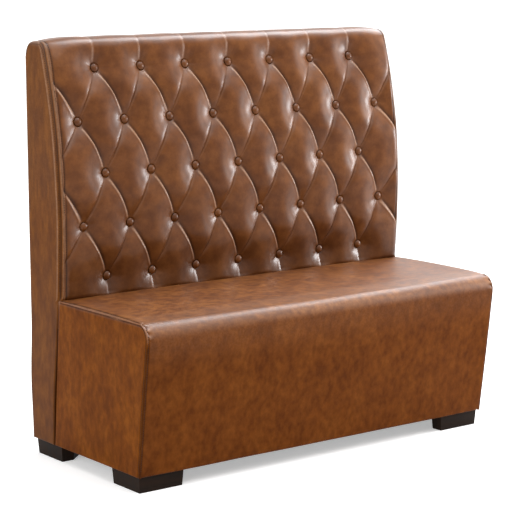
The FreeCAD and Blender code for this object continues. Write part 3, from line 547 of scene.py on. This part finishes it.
def simulate_cover(points, faces, held):
    """Points of a closed cover after its padding has pressed it out, held at the given points."""
    cover = new_object("pressed", closed_mesh("pressed", points, faces))
    group = cover.vertex_groups.new(name="held")
    group.add([int(index) for index in np.nonzero(held)[0]], 1.0, "REPLACE")
    cloth = cover.modifiers.new("cloth", "CLOTH")
    settings = cloth.settings
    settings.quality = 6
    settings.mass = 0.3
    settings.tension_stiffness = CLOTH_STIFFNESS
    settings.compression_stiffness = CLOTH_STIFFNESS
    settings.bending_stiffness = 1.5
    settings.vertex_group_mass = "held"
    settings.use_pressure = True
    settings.uniform_pressure_force = CLOTH_PRESSURE
    settings.effector_weights.gravity = 0.0
    cloth.collision_settings.use_collision = False
    cloth.point_cache.frame_end = CLOTH_FRAMES
    for moment in range(1, CLOTH_FRAMES + 1):
        SCENE.frame_set(moment)
    pressed = cover.evaluated_get(bpy.context.evaluated_depsgraph_get())
    moved = np.empty(len(points) * 3)
    pressed.to_mesh().vertices.foreach_get("co", moved)
    pressed.to_mesh_clear()
    mesh = cover.data
    bpy.data.objects.remove(cover)
    bpy.data.meshes.remove(mesh)
    SCENE.frame_set(1)
    return moved.reshape(-1, 3)


def seat_swell(xs, line_points):
    """How far the padding presses the seat's cover out, for places across and along it.

    A coarser copy starts from a smaller shape, held along its seams, and swells by cloth simulation.
    """
    rows, side_reach, end_share = 60, 0.06, 0.08
    nose_share, nose_reach = 0.45, 0.09
    filled_share, filled_reach = 0.42, 0.24
    coarse = np.linspace(-COVER_END, COVER_END, 61)
    along = np.linspace(0, 1, rows)
    across_share = smooth_step((COVER_END - np.abs(coarse)) / side_reach)
    along_share = smooth_step(np.minimum(along, 1 - along) / end_share)
    along_share *= 1 - np.exp(-((along - nose_share) / nose_reach) ** 4)
    offset = -SWELL_INSET * across_share[:, None] * along_share
    rings, outward = [], []
    for place, drop in zip(coarse, offset):
        share = 1 - (place / COVER_END) ** 2
        line = resample(seat_section(share, 0), rows)
        out = normals(line)
        outward.append([(0, -d, z) for d, z in out])
        ring = [at(place, d, z) for d, z in line + out * drop[:, None]]
        rings.append(np.array(ring + [at(place, d, z) for d, z in seat_inside(line[0][0], share)]))
    points, faces = ring_loft(rings)
    count = len(rings[0])
    held = np.ones((len(coarse), count), bool)
    held[1:-1, 1:rows - 1] = False
    moved = simulate_cover(points, faces, held.ravel())
    moves = (moved - points).reshape(len(coarse), count, 3)[:, :rows]
    swell = smoothed(np.sum(moves * np.array(outward), axis=2), 9)
    offset = offset + SWELL_CAP * np.tanh(np.maximum(swell, 0) / SWELL_CAP)
    filled = np.exp(-((along - filled_share) / filled_reach) ** 4)
    offset = smoothed(offset + filled * np.maximum(-offset, 0), 2)
    part = np.array([np.interp(np.linspace(0, 1, line_points), along, row) for row in offset])
    fine = np.column_stack([np.interp(xs, coarse, column) for column in part.T])
    return smoothed(fine, 6)


def pucker(place, line):
    """Small gathers of the cover round the front corners of the seat's top."""
    centre_depth = FRONT_DEPTH - NOSE_RADIUS - FRONT_CROWN
    angle = np.arctan2(line[:, 1] - (SEAT_HEIGHT - NOSE_RADIUS), line[:, 0] - centre_depth)
    reach = COVER_END - abs(place)
    fade = bell(reach, PUCKER_REACH) * smooth_step(reach / 0.002)
    on_nose = smooth_step((angle + 0.1) / 0.25) * smooth_step((math.pi / 2 + 0.25 - angle) / 0.4)
    side = 1 if place > 0 else -1
    return PUCKER_HEIGHT * np.sin(angle * PUCKER_WAVES + side) * fade * on_nose


def make_seat_cushion(material):
    """Seat cushion: one cover over the foam, the rounded front edge and the raked front."""
    line_points, spacing, edge_radius = 260, 0.006, 0.007
    unevenness, uneven_reach, even_reach = 0.0009, 0.36, 0.05
    fade_reach, painted_sheen_reach = 0.03, 0.055
    front_depth = FRONT_BOTTOM - 0.05
    near = (1 - np.cos(np.linspace(0, math.pi / 2, 12)))[:-1] * edge_radius * 2
    middle = (2 * np.linspace(0, 1, int(2 * COVER_END / spacing)) - 1) * (COVER_END - 2 * edge_radius)
    xs = np.concatenate([-COVER_END + near, middle, COVER_END - near[::-1]])
    along = np.linspace(0, 1, line_points)
    rings, wear_and_painted_light = [], []
    for place, offset in zip(xs, seat_swell(xs, line_points)):
        share = 1 - (place / COVER_END) ** 2
        from_side = COVER_END - abs(place)
        line = resample(seat_section(share, 0), line_points)
        gathers = pucker(place, line)
        swell = unevenness * wander(place, along, 7, uneven_reach) * smooth_step(from_side / even_reach)
        swell = (swell + gathers) * smooth_step((line[:, 0] - joint_depth(SEAT_HEIGHT)) / fade_reach)
        field = swell + offset - quarter_round(from_side, edge_radius)
        field -= quarter_round(line[:, 1] - FRAME_BOTTOM, BOTTOM_EDGE_RADIUS)
        field -= stitch_dip(from_side - STITCH_INSET)
        inside = seat_inside(line[0][0], share)
        ring = [at(place, d, z) for d, z in line + normals(line) * field[:, None]]
        rings.append(np.array(ring + [at(place, d, z) for d, z in inside]))
        below_nose = SEAT_HEIGHT - NOSE_RADIUS - line[:, 1]
        upright = smooth_step(below_nose / fade_reach)
        # Painted sheen: a pale haze on the front just below the nose
        marks = 0.08 * bell(np.maximum(below_nose, 0), painted_sheen_reach) * (line[:, 0] > front_depth)
        # Painted light and shade on the gathers: pale on their crests and dark in their hollows
        marks += 0.5 * gathers / PUCKER_HEIGHT
        # Pale along the top edge, partly wear and partly a painted highlight; painted shade down the
        # upright seam and along the stitches
        marks += 0.7 * edge_wear_and_highlight(from_side) * (1 - upright) - stitch_shade(from_side) * upright
        marks -= stitch_shade(from_side - STITCH_INSET)
        wear_and_painted_light += list(marks) + [0] * len(inside)
    points, faces = ring_loft(rings)
    replaced = ["seat_cover", "seat_foam", "seat_front_padding"]
    return mesh_piece("seat_cushion", points, faces, replaced, material, wear_and_painted_light)


# Side panels


def even_heights(high, radius):
    """Heights from the frame's bottom to high, closer together there and over the last radius."""
    step, low_reach, least_gap = 0.008, 0.01, 0.00005
    low = FRAME_BOTTOM
    main = np.linspace(low, high - radius, int((high - radius - low) / step) + 2)
    last = high - radius + radius * np.sin(np.linspace(0, math.pi / 2, 16))[1:]
    last[-1] = high - least_gap
    first = low + low_reach * (1 - np.cos(np.linspace(0, math.pi / 2, 8)))
    return np.unique(np.concatenate([first, main[main > low + low_reach], last]))


def back_front_line(heights):
    """Front line of the back's side panel: the joint below the seat, the tufted seam above."""
    return np.where(heights < SEAT_HEIGHT, joint_depth(heights), back_depth(heights))


def seat_side_front(heights):
    """Front line of the seat's side panel: the raked front and its rounded top."""
    line = np.array(seat_section(0, 0))
    return np.interp(heights, line[:60, 1], line[:60, 0])


def back_side_surface(from_rear, from_front, z):
    """How far the side of the back stands in from the full width, and its wear and painted light and shade.

    It comes in to the tufted seam above the seat, and swells out low down.
    """
    upper = smooth_step((z - SEAT_HEIGHT + 0.01) / 0.02)
    front_drop = EDGE_IN * np.clip(1 - from_front / EDGE_REACH, 0, 1) ** 1.5 * upper
    drop = np.maximum.reduce([
        front_drop + quarter_round(from_front, 0.005) * (1 - upper),
        quarter_round(from_rear, 0.006),
        quarter_round((SEAM_TOP - z) * EDGE_IN / EDGE_REACH, EDGE_IN),
        quarter_round(z - FRAME_BOTTOM, BOTTOM_EDGE_RADIUS),
    ])
    ridge = 0.0008 * bell(from_front - 0.0025, 0.0020)
    drop = drop + (stitch_dip(from_front - EDGE_STITCH_INSET) - ridge) * upper
    swell = 0.005 * bell(z - 0.20, 0.13)
    # Pale along the front seam and the top edge, partly wear and partly a painted highlight, and a painted
    # highlight on the rounded shoulder behind the seam
    marks = edge_wear_and_highlight(from_front) + 1.3 * edge_wear_and_highlight(from_front - EDGE_REACH) + 0.5 * edge_wear_and_highlight(SEAM_TOP - z)
    # Painted shade along the stitches above the seat, and in the joint with the seat below it
    marks = marks - 1.2 * stitch_shade(from_front - EDGE_STITCH_INSET)
    marks = marks * upper - 0.9 * stitch_shade(from_front) * (1 - upper)
    # Painted light and shade: a little paler overall, and darker towards the bottom
    return drop - swell, marks + 0.04 - 0.16 * smooth_step((0.85 - z) / 0.6)


def seat_side_surface(from_rear, from_front, z):
    """How far the side of the seat stands in from the full width, and its wear and painted light and shade.
    """
    edge_radius = 0.004
    drop = np.maximum.reduce([
        quarter_round(from_front, edge_radius),
        quarter_round(from_rear * 0.6, 0.007),
        quarter_round(SEAT_HEIGHT - z, edge_radius),
        quarter_round(z - FRAME_BOTTOM, BOTTOM_EDGE_RADIUS),
    ])
    from_seam = np.minimum(from_front, SEAT_HEIGHT - z)
    drop = drop + stitch_dip(from_seam - STITCH_INSET)
    swell = 0.0015 * bell(z - (FRAME_BOTTOM + SEAT_HEIGHT) / 2, 0.16)
    upright = smooth_step((SEAT_HEIGHT - NOSE_RADIUS - z) / 0.03)
    # Pale along the top edge, partly wear and partly a painted highlight; painted shade down the front
    # seam, along the stitches and in the joint with the back
    marks = 0.7 * edge_wear_and_highlight(from_seam) * (1 - upright) - stitch_shade(from_seam) * upright
    return drop - swell, marks - stitch_shade(from_seam - STITCH_INSET) - 0.9 * stitch_shade(from_rear)


def side_panel(name, side, heights, front, rear, surface, replaced, material):
    """Padded panel on one side of the bench between a front and a rear line."""
    columns = 110
    unevenness, uneven_reach = 0.0007, 0.25
    gap, least_thickness = 0.0003, 0.0008
    shares = (1 - np.cos(np.linspace(0, math.pi, columns))) / 2
    z, share = np.meshgrid(heights, shares, indexing="ij")
    front_line = front(heights)[:, None]
    rear_line = rear(heights)[:, None]
    depth = rear_line + (front_line - rear_line) * share
    drop, marks = surface(depth - rear_line, front_line - depth, z)
    outer = HALF_WIDTH - drop + unevenness * wander(depth, z, 11 + side, uneven_reach)
    inner = np.minimum(BOARD_END + gap, outer - least_thickness)
    points = []
    for skin in (outer, inner):
        points += [at(side * x, d, h) for x, d, h in zip(skin.ravel(), depth.ravel(), z.ravel())]
    wear_and_painted_light = np.concatenate([marks.ravel(), np.zeros(marks.size)])
    faces = skin_faces(len(heights), columns)
    return mesh_piece(name, points, faces, replaced, material, wear_and_painted_light)


def make_side_panels(back_material, seat_material):
    """Padded side panels of the seat and of the back, left and right, by name."""
    back_heights = even_heights(SEAM_TOP, TOP_REAR_RADIUS)
    seat_heights = even_heights(SEAT_HEIGHT, NOSE_RADIUS)
    kinds = (
        ("back_side_", back_heights, back_front_line, rear_depth, back_side_surface, back_material),
        ("seat_side_", seat_heights, seat_side_front, joint_depth, seat_side_surface, seat_material),
    )
    pieces = {}
    for side, word in ((-1, "left"), (1, "right")):
        for kind, *form, material in kinds:
            replaced = [kind + "cover_" + word, kind + "padding_" + word]
            pieces[kind + word] = side_panel(kind + word, side, *form, replaced, material)
    return pieces


# Flat covers


def stretched_sheet(name, stations, lows, highs, level, thickness, replaced, material, slot):
    """Thin closed sheet over stations across, between two lines; level places its points."""
    shares = np.linspace(0, 1, 40)
    points = []
    for skin in (0, thickness):
        for x, low, high in zip(stations, lows, highs):
            points += [level(x, low + (high - low) * share, skin) for share in shares]
    faces = skin_faces(len(stations), len(shares))
    return mesh_piece(name, points, faces, [replaced], material)


def make_rear_cover(material):
    """Outside back: one plain cover stretched over the hardboard."""
    thickness = REAR_COVER_DEPTH
    edge_reach, edge_drop = 0.006, 0.0010
    ripple_height, ripple_reach, flat_reach = 0.00025, 0.3, 0.05
    stations = np.linspace(-COVER_END, COVER_END, 90)

    def level(x, height, skin):
        """A point of the cover, with its outer skin drawn down at the edges and slightly rippled."""
        edge = min(COVER_END - abs(x), REAR_SEAM - height, height - FRAME_BOTTOM)
        drop = float(quarter_round(edge, edge_reach)) * edge_drop / edge_reach
        ripple = ripple_height * float(wander(x, height, 21, ripple_reach)) * min(edge / flat_reach, 1)
        return at(x, drop + skin * (1 - drop / thickness) + ripple * (skin == 0), height)

    lows = [FRAME_BOTTOM] * len(stations)
    highs = [REAR_SEAM] * len(stations)
    form = (stations, lows, highs, level, thickness)
    cover = stretched_sheet("rear_cover", *form, "outside_back_cover", material, "brown_vinyl")


def foot_limit(across, corner):
    """How far a foot reaches along the bench at a distance across from its outer corner."""
    width, length, end = FOOT_PLAN
    if across > width + corner:
        return 0.0
    if across < end:
        return length + corner
    return end + (length - end) * (width + corner - across) / (width + corner - end)


def make_dust_cover(material):
    """Black cloth under the frame, cut out round the feet."""
    thickness, gap, step, full_sag = 0.0008, 0.0008, 0.0002, 0.002
    front_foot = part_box("foot_front_right")
    outer_x, front_limit = front_foot[1].x, REAR - front_foot[0].y
    rear_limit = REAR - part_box("foot_rear_right")[1].y
    main = np.linspace(-DUST_END, DUST_END, 61)
    foot_side = outer_x - FOOT_PLAN[0] - gap
    edges = [foot_side - step, foot_side + step, outer_x - FOOT_PLAN[2]]
    stations = np.unique(np.concatenate([main, edges, [-e for e in edges]]))
    reach = np.array([foot_limit(outer_x - abs(x), gap) for x in stations])
    lows = np.where(reach > 0, rear_limit + reach, DUST_REAR)
    highs = np.where(reach > 0, front_limit - reach, DUST_FRONT)

    def level(x, depth, skin):
        """A point of the cloth, which sags a little in the middle."""
        along = (depth - DUST_REAR) / (DUST_FRONT - DUST_REAR)
        sag = full_sag * (1 - (x / DUST_END) ** 2) * 4 * along * (1 - along)
        return at(x, depth, FRAME_BOTTOM - thickness - sag + skin)

    form = (stations, lows, highs, level, thickness)
    cover = stretched_sheet("bottom_cloth", *form, "dust_cover", material, "black_cloth")


# Stitches


def sew(name, cloth, path, material):
    """A row of stitches on a padded piece, as near as possible to a path.

    Each stitch has four stages: the place along its length, the lift and the share of its radius.
    """
    stages = ((-0.5, -0.0004, 0.6), (-0.2, 0.00025, 1), (0.2, 0.00025, 1), (0.5, -0.0004, 0.6))
    angles = [2 * math.pi * corner / 5 for corner in range(5)]
    mesh = cloth.data
    polygons = [tuple(face.vertices) for face in mesh.polygons]
    surface = BVHTree.FromPolygons([vertex.co for vertex in mesh.vertices], polygons)
    line = np.array(path)
    lengths = line_lengths(line)
    places = np.arange(STITCH_PITCH, lengths[-1], STITCH_PITCH)
    spots = np.column_stack([np.interp(places, lengths, column) for column in line.T])
    found = [surface.find_nearest(Vector(spot))[:2] for spot in spots]
    points, faces = [], []
    for before, (place, out), after in zip(found, found[1:], found[2:]):
        ahead = (after[0] - before[0]).normalized()
        across = ahead.cross(out).normalized()
        rings = []
        for part, lift, share in stages:
            centre = place + ahead * part * STITCH_LENGTH + out * lift
            radius = STITCH_RADIUS * share
            rings.append([centre + (across * math.cos(a) + out * math.sin(a)) * radius for a in angles])
        stitch, stitch_faces = ring_loft(rings)
        faces += [tuple(len(points) + corner for corner in face) for face in stitch_faces]
        points += list(stitch)
    mesh_piece(name, points, faces, None, material)


def make_stitches(pieces, material):
    """Double rows of stitches along the tufted side seams and round the sides of the seat."""
    back_line, _ = back_profile(0.004)
    above = back_line[:, 1] > SEAT_HEIGHT + 0.012
    behind = (back_line - normals(back_line) * EDGE_STITCH_INSET)[above]
    outline = resample(seat_section(0, 0), 200)
    under = resample(seat_section(0, STITCH_INSET), 200)
    outline, under = [line[line[:, 1] > FRAME_BOTTOM + 0.006] for line in (outline, under)]
    for side, word in ((-1, "left"), (1, "right")):
        rows = (
            ("back_inner", "tufted_back", HALF_WIDTH - EDGE_IN - BACK_STITCH_INSET, back_line[above]),
            ("back_outer", "back_side_" + word, HALF_WIDTH, behind),
            ("seat_inner", "seat_cushion", COVER_END - STITCH_INSET, outline),
            ("seat_outer", "seat_side_" + word, HALF_WIDTH, under),
        )
        for row, cloth, x, line in rows:
            path = [at(side * x, d, z) for d, z in line]
            sew("stitches_" + row + "_" + word, pieces[cloth], path, material)


# Materials: colours are linear, and a scale counts in patterns to the metre


VINYL_COLOURS = ((0.122, 0.0375, 0.0075), (0.147, 0.0475, 0.0100), (0.172, 0.0590, 0.0135))
# Pale colours for wear and painted highlights, then dark colours for painted shade
PALE_WEAR_AND_HIGHLIGHT_COLOURS = ((0.29, 0.150, 0.080), (0.44, 0.270, 0.175))
SHADED_COLOURS = ((0.020, 0.0065, 0.0020), (0.034, 0.0110, 0.0035))

# The copies' tints differ to paint the light on their faces: lit and shaded copies of one vinyl
# Tint, stretch of the pattern on standing faces and on the top, index, share of the finish, its roughness
VINYLS = (
    ("brown_vinyl", (0.88, 0.85, 0.80), [(0.55, 0.55, 0.55)], 1.17, (0.27, 0.7), 0.28),
    ("seat_vinyl", (0.78, 0.64, 0.37), [(1, 1, 0.7), (0.6, 0.6, 0.6)], 1.08, (0.05, 1.0), 0.45),
    ("seat_side_vinyl", (0.95, 0.79, 0.28), [(1, 1, 0.6)], 1.06, (0.05, 1.0), 0.40),
    ("back_side_vinyl", (0.88, 0.83, 0.43), [(1, 1, 0.4)], 1.06, (0.14, 0.9), 0.32),
)
# Dark and pale colour, roughness, scale of the grain, its stretch
WOODS = (
    ("espresso_wood", (0.0060, 0.0025, 0.0008), (0.013, 0.0052, 0.0018), 0.6, 60.0, (0.12, 1, 1)),
    ("plywood", (0.50, 0.34, 0.19), (0.66, 0.49, 0.30), 0.62, 40.0, (0.15, 1, 1)),
)
# Dark and pale colour, roughness, metal, scale of the pattern, height of the relief
PLAIN_FINISHES = (
    ("thread", (0.030, 0.011, 0.0045), (0.055, 0.022, 0.009), 0.8, 0.0, 900.0, 0.0001),
    ("hardboard", (0.16, 0.09, 0.045), (0.23, 0.14, 0.075), 0.7, 0.0, 240.0, 0.0002),
    ("foam", (0.60, 0.53, 0.38), (0.70, 0.64, 0.50), 0.9, 0.0, 320.0, 0.0005),
    ("black_cloth", (0.010, 0.010, 0.011), (0.022, 0.022, 0.024), 0.85, 0.0, 700.0, 0.0004),
    ("twine", (0.45, 0.36, 0.24), (0.60, 0.50, 0.36), 0.8, 0.0, 900.0, 0.0003),
    ("zinc_steel", (0.42, 0.42, 0.43), (0.58, 0.58, 0.59), 0.35, 1.0, 180.0, 0.00005),
)


def new_material(name):
    """A material with nodes, its shader and a coordinate output that keeps to the bench."""
    material = bpy.data.materials.new(name)
    material.use_nodes = True
    tree = material.node_tree
    return material, tree, tree.nodes["Principled BSDF"], add_node(tree, "TexCoord", {})["Object"]


def fill_inputs(tree, node, inputs):
    """Link the inputs of a node to outputs of other nodes, or give them a value."""
    for name, value in inputs.items():
        if isinstance(value, bpy.types.NodeSocket):
            tree.links.new(value, node.inputs[name])
        else:
            node.inputs[name].default_value = value


def add_node(tree, kind, inputs):
    """Add a node with these inputs, and return its outputs."""
    node = tree.nodes.new("ShaderNode" + kind)
    fill_inputs(tree, node, inputs)
    return node.outputs


def noise_at(tree, place, scale, detail, stretch=(1, 1, 1)):
    """A noise pattern of the given scale; stretch draws it out along an axis."""
    mapping = add_node(tree, "Mapping", {"Vector": place, "Scale": stretch})
    noise = {"Vector": mapping["Vector"], "Scale": scale, "Detail": detail}
    return add_node(tree, "TexNoise", noise)["Fac"]


def ramp(tree, value, places, colours):
    """Colours that follow a value, each at its place."""
    node = tree.nodes.new("ShaderNodeValToRGB")
    elements = node.color_ramp.elements
    while len(elements) < len(colours):
        elements.new(0.5)
    for element, place, colour in zip(elements, places, colours):
        element.position = place
        element.color = (*colour, 1)
    tree.links.new(value, node.inputs["Fac"])
    return node.outputs["Color"]


def blend_colours(tree, kind, amount, first, second):
    """Two colours mixed in the given way; amount is a number or another pattern."""
    node = tree.nodes.new("ShaderNodeMix")
    node.data_type = "RGBA"
    node.blend_type = kind
    fill_inputs(tree, node, {"Factor": amount, "A": first, "B": second})
    return node.outputs["Result"]


def ranged(tree, value, low, high):
    """A pattern from 0 to 1 brought to the range from low to high."""
    return add_node(tree, "MapRange", {"Value": value, "To Min": low, "To Max": high})["Result"]


def add_bump(tree, shader, value, distance, strength, under=None):
    """Relief from a pattern, on top of earlier relief if there is any."""
    relief = {"Height": value, "Distance": distance, "Strength": strength}
    if under is not None:
        relief["Normal"] = under
    normal = add_node(tree, "Bump", relief)["Normal"]
    fill_inputs(tree, shader, {"Normal": normal})
    return normal


def upward(tree):
    """1 where the surface faces up, 0 where it stands."""
    split = add_node(tree, "SeparateXYZ", {"Vector": add_node(tree, "TexCoord", {})["Normal"]})
    node = tree.nodes.new("ShaderNodeMapRange")
    node.interpolation_type = "SMOOTHSTEP"
    fill_inputs(tree, node, {"Value": split["Z"], "From Min": -0.05, "From Max": 0.60})
    return node.outputs["Result"]


def streaked_noise(tree, place, scale, stretches, facing):
    """A noise pattern drawn out one way on standing faces and another way on the top."""
    standing, *top = [noise_at(tree, place, scale, 4.0, stretch) for stretch in stretches]
    if not top:
        return standing
    return add_node(tree, "Mix", {"Factor": facing, "A": standing, "B": top[0]})["Result"]


def vinyl_material(name, tint, stretches, gloss, polish, finish):
    """Brown distressed vinyl with cloudy patches, worn streaks and a fine grain under a clear finish.

    gloss is the index of the vinyl; polish is the share of the finish on standing faces and on the top,
    and finish its roughness. The top of the seat, which has a pattern of its own, also has pale streaks,
    partly a painted reflection.
    """
    material, tree, shader, place = new_material(name)
    facing = upward(tree)
    tinted = [[part * share for part, share in zip(colour, tint)] for colour in VINYL_COLOURS]
    clouds = streaked_noise(tree, place, 15.0, stretches, facing)
    colour = ramp(tree, clouds, (0.30, 0.50, 0.70), tinted)
    patches = streaked_noise(tree, place, 60.0, stretches, facing)
    pale_and_dark_marks = ramp(tree, patches, (0.34, 0.66), ((0.77, 0.73, 0.67), (1.20, 1.23, 1.30)))
    colour = blend_colours(tree, "MULTIPLY", 0.8, colour, pale_and_dark_marks)
    # Pale streaks on the top of the seat: partly its own pattern, partly a painted reflection that lights
    # the top
    if len(stretches) > 1:
        streaks = noise_at(tree, place, 62.0, 5.0, (0.7, 1, 1))
        pale_streaks_and_sheen = ramp(tree, streaks, (0.40, 0.60), ((1.08, 1.16, 1.35), (1.62, 2.02, 3.0)))
        colour = blend_colours(tree, "MULTIPLY", facing, colour, pale_streaks_and_sheen)
    specks = noise_at(tree, place, 190.0, 3.0)
    fine = ramp(tree, specks, (0.35, 0.62), ((0.86, 0.84, 0.82), (1.05, 1.05, 1.05)))
    colour = blend_colours(tree, "MULTIPLY", 0.45, colour, fine)
    # The cover's wear attribute also carries painted light: above 0 it is rubbed pale and painted with
    # highlights, and below 0 it is painted with shade
    attribute = tree.nodes.new("ShaderNodeAttribute")
    attribute.attribute_name = "wear_and_painted_light"
    wear_and_painted_light = attribute.outputs["Fac"]
    pale_wear_and_highlight = ramp(tree, specks, (0.3, 0.7), PALE_WEAR_AND_HIGHLIGHT_COLOURS)
    colour = blend_colours(tree, "MIX", wear_and_painted_light, colour, pale_wear_and_highlight)
    shade = add_node(tree, "MapRange", {"Value": wear_and_painted_light, "From Max": -1.0})["Result"]
    shaded = ramp(tree, specks, (0.3, 0.7), SHADED_COLOURS)
    fill_inputs(tree, shader, {
        "Base Color": blend_colours(tree, "MIX", shade, colour, shaded),
        "Roughness": ranged(tree, patches, 0.38, 0.50),
        "IOR": gloss,
        "Specular Tint": (1.0, 0.95, 0.93, 1),
        "Coat Weight": ranged(tree, facing, *polish),
        "Coat Roughness": finish,
        "Coat IOR": 1.45,
    })
    grain = tree.nodes.new("ShaderNodeTexVoronoi")
    grain.feature = "DISTANCE_TO_EDGE"
    fill_inputs(tree, grain, {"Vector": place, "Scale": 620.0})
    relief = add_bump(tree, shader, grain.outputs["Distance"], 0.0002, 0.25)
    add_bump(tree, shader, noise_at(tree, place, 38.0, 2.0), 0.0010, 0.20, relief)
    return material


def wood_material(name, dark, pale, roughness, grain_scale, axis_stretch):
    """Wood with its grain along one axis."""
    material, tree, shader, place = new_material(name)
    rings = noise_at(tree, place, grain_scale, 6.0, axis_stretch)
    fill_inputs(tree, shader, {
        "Base Color": ramp(tree, rings, (0.34, 0.62), (dark, pale)),
        "Roughness": ranged(tree, rings, roughness - 0.06, roughness + 0.1),
        "IOR": 1.2,
    })
    pores = noise_at(tree, place, grain_scale * 5, 4.0, axis_stretch)
    add_bump(tree, shader, pores, 0.0003, 0.3)
    return material


def plain_material(name, dark, pale, roughness, metallic, scale, relief):
    """A finish with uneven colour and gloss and a fine relief."""
    material, tree, shader, place = new_material(name)
    pattern = noise_at(tree, place, scale, 4.0)
    fill_inputs(tree, shader, {
        "Base Color": ramp(tree, pattern, (0.3, 0.7), (dark, pale)),
        "Roughness": ranged(tree, pattern, roughness - 0.08, roughness + 0.08),
        "Metallic": metallic,
    })
    if metallic == 0:
        shader.inputs["IOR"].default_value = 1.25
    add_bump(tree, shader, pattern, relief, 0.4)
    return material


def make_materials():
    """Every material of the bench by name: one for each slot, thread and three more vinyls."""
    kinds = ((vinyl_material, VINYLS), (wood_material, WOODS), (plain_material, PLAIN_FINISHES))
    return {name: make(name, *values) for make, finishes in kinds for name, *values in finishes}


def dress_nodes(materials):
    """Give every node of the frame the material of its slot, and soften the feet's edges."""
    slots = {part["node"]: part["material_slot"] for part in frame["record"]["subparts"]}
    for name, node in frame["nodes"].items():
        node.data.materials.clear()
        node.data.materials.append(materials[slots[name]])
        if name.startswith(("foot_front", "foot_rear")):
            bevel = node.modifiers.new("edge", "BEVEL")
            bevel.width = 0.0016
            bevel.segments = 3
            bevel.limit_method = "ANGLE"


# Camera, floor and lamps

CAMERA_PLACE = (-3.1910, -4.1779, 1.4038)
CAMERA_TURN, CAMERA_PITCH, CAMERA_ROLL = 0.6476, 0.1652, 0.0022
CAMERA_LENS = 129.52
FLOOR_SIZE = 60.0
MIDDLE = (0, 0, 0.6)
SIDE_MIDDLE = (0, 0, 0.8)
# Direction, strength and spread in degrees
SUNS = (
    ("sky", (-0.1, 0.32, -1.0), 1.9, 70.0),
    ("fill", (1.0, 0.20, -0.35), 1.55, 50.0),
)
# Place, target, size, power and colour
LAMPS = (
    ("key", (2.36, 0.48, 3.34), MIDDLE, (1.8, 1.8), 45.0, (0.90, 0.95, 1.0)),
    ("above", (1.25, 0.45, 3.40), MIDDLE, (1.3, 2.1), 60.0, (0.90, 0.95, 1.0)),
    ("behind", (2.95, 1.38, 2.38), (0.3, -0.2, 0.4), (1.2, 1.2), 24.0, (0.86, 0.93, 1.0)),
    ("right_wall", (3.9, -1.5, 1.5), SIDE_MIDDLE, (2.6, 2.2), 50.0, (1.0, 0.99, 0.98)),
    ("right", (4.3, -1.1, 1.1), SIDE_MIDDLE, (0.7, 1.1), 98.0, (0.97, 0.98, 1.0)),
)


def add_camera():
    """Camera at the photograph's place, turn and lens."""
    data = bpy.data.cameras.new("camera")
    data.sensor_width = 36.0
    data.lens = CAMERA_LENS
    camera = new_object("camera", data)
    camera.matrix_world = (
        Matrix.Translation(CAMERA_PLACE)
        @ Matrix.Rotation(-CAMERA_TURN, 4, "Z")
        @ Matrix.Rotation(math.pi / 2 - CAMERA_PITCH, 4, "X")
        @ Matrix.Rotation(-CAMERA_ROLL, 4, "Z")
    )
    SCENE.camera = camera


def aimed(name, data, direction):
    """A lamp in the scene that shines along a direction."""
    lamp = new_object(name, data)
    lamp.rotation_euler = Vector(direction).to_track_quat("-Z", "Y").to_euler()
    return lamp


def add_lamp(name, place, target, size, power, colour):
    """A soft rectangular lamp that faces a point."""
    data = bpy.data.lights.new(name, "AREA")
    data.shape = "RECTANGLE"
    data.size, data.size_y = size
    data.energy = power
    data.color = colour
    lamp = aimed(name, data, Vector(target) - Vector(place))
    lamp.location = place


def add_sun(name, direction, strength, spread):
    """A broad even lamp that shines along a direction."""
    data = bpy.data.lights.new(name, "SUN")
    data.energy = strength
    data.angle = math.radians(spread)
    aimed(name, data, direction)


def seen_directly(tree):
    """1 for what the camera sees, also by way of gloss or glass, and 0 for light on the object."""
    rays = add_node(tree, "LightPath", {})
    seen = rays["Is Camera Ray"]
    for kind in ("Is Glossy Ray", "Is Transmission Ray"):
        either = tree.nodes.new("ShaderNodeMath")
        either.operation = "MAXIMUM"
        tree.links.new(seen, either.inputs[0])
        tree.links.new(rays[kind], either.inputs[1])
        seen = either.outputs["Value"]
    return seen


def add_stage():
    """Pale floor and a background that are white to the camera and dimmer as a light."""
    mesh = bpy.data.meshes.new("floor")
    corners = [(x * FLOOR_SIZE, y * FLOOR_SIZE, 0) for x, y in ((-1, -1), (1, -1), (1, 1), (-1, 1))]
    mesh.from_pydata(corners, [], [(0, 1, 2, 3)])
    floor = new_object("floor", mesh)
    material, tree, shader, _ = new_material("floor")
    fill_inputs(tree, shader, {
        "Base Color": (0.90, 0.90, 0.90, 1),
        "Roughness": 1.0,
        "Specular IOR Level": 0.0,
        "Emission Color": (1, 1, 1, 1),
        "Emission Strength": ranged(tree, seen_directly(tree), 0.0, 0.40),
    })
    mesh.materials.append(material)
    world = bpy.data.worlds.new("studio")
    SCENE.world = world
    world.use_nodes = True
    tree = world.node_tree
    background = {"Color": (1, 1, 1, 1), "Strength": ranged(tree, seen_directly(tree), 0.36, 1.0)}
    fill_inputs(tree, tree.nodes["Background"], background)


def main():
    """Build every piece, then the floor, the lamps and the camera."""
    materials = make_materials()
    dress_nodes(materials)
    pieces = {"tufted_back": make_tufted_back(materials["brown_vinyl"])}
    pieces["seat_cushion"] = make_seat_cushion(materials["seat_vinyl"])
    pieces.update(make_side_panels(materials["back_side_vinyl"], materials["seat_side_vinyl"]))
    make_rear_cover(materials["back_side_vinyl"])
    make_dust_cover(materials["black_cloth"])
    make_stitches(pieces, materials["thread"])
    add_stage()
    for sun in SUNS:
        add_sun(*sun)
    for lamp in LAMPS:
        add_lamp(*lamp)
    add_camera()
    SCENE.view_settings.view_transform = "Standard"


main()
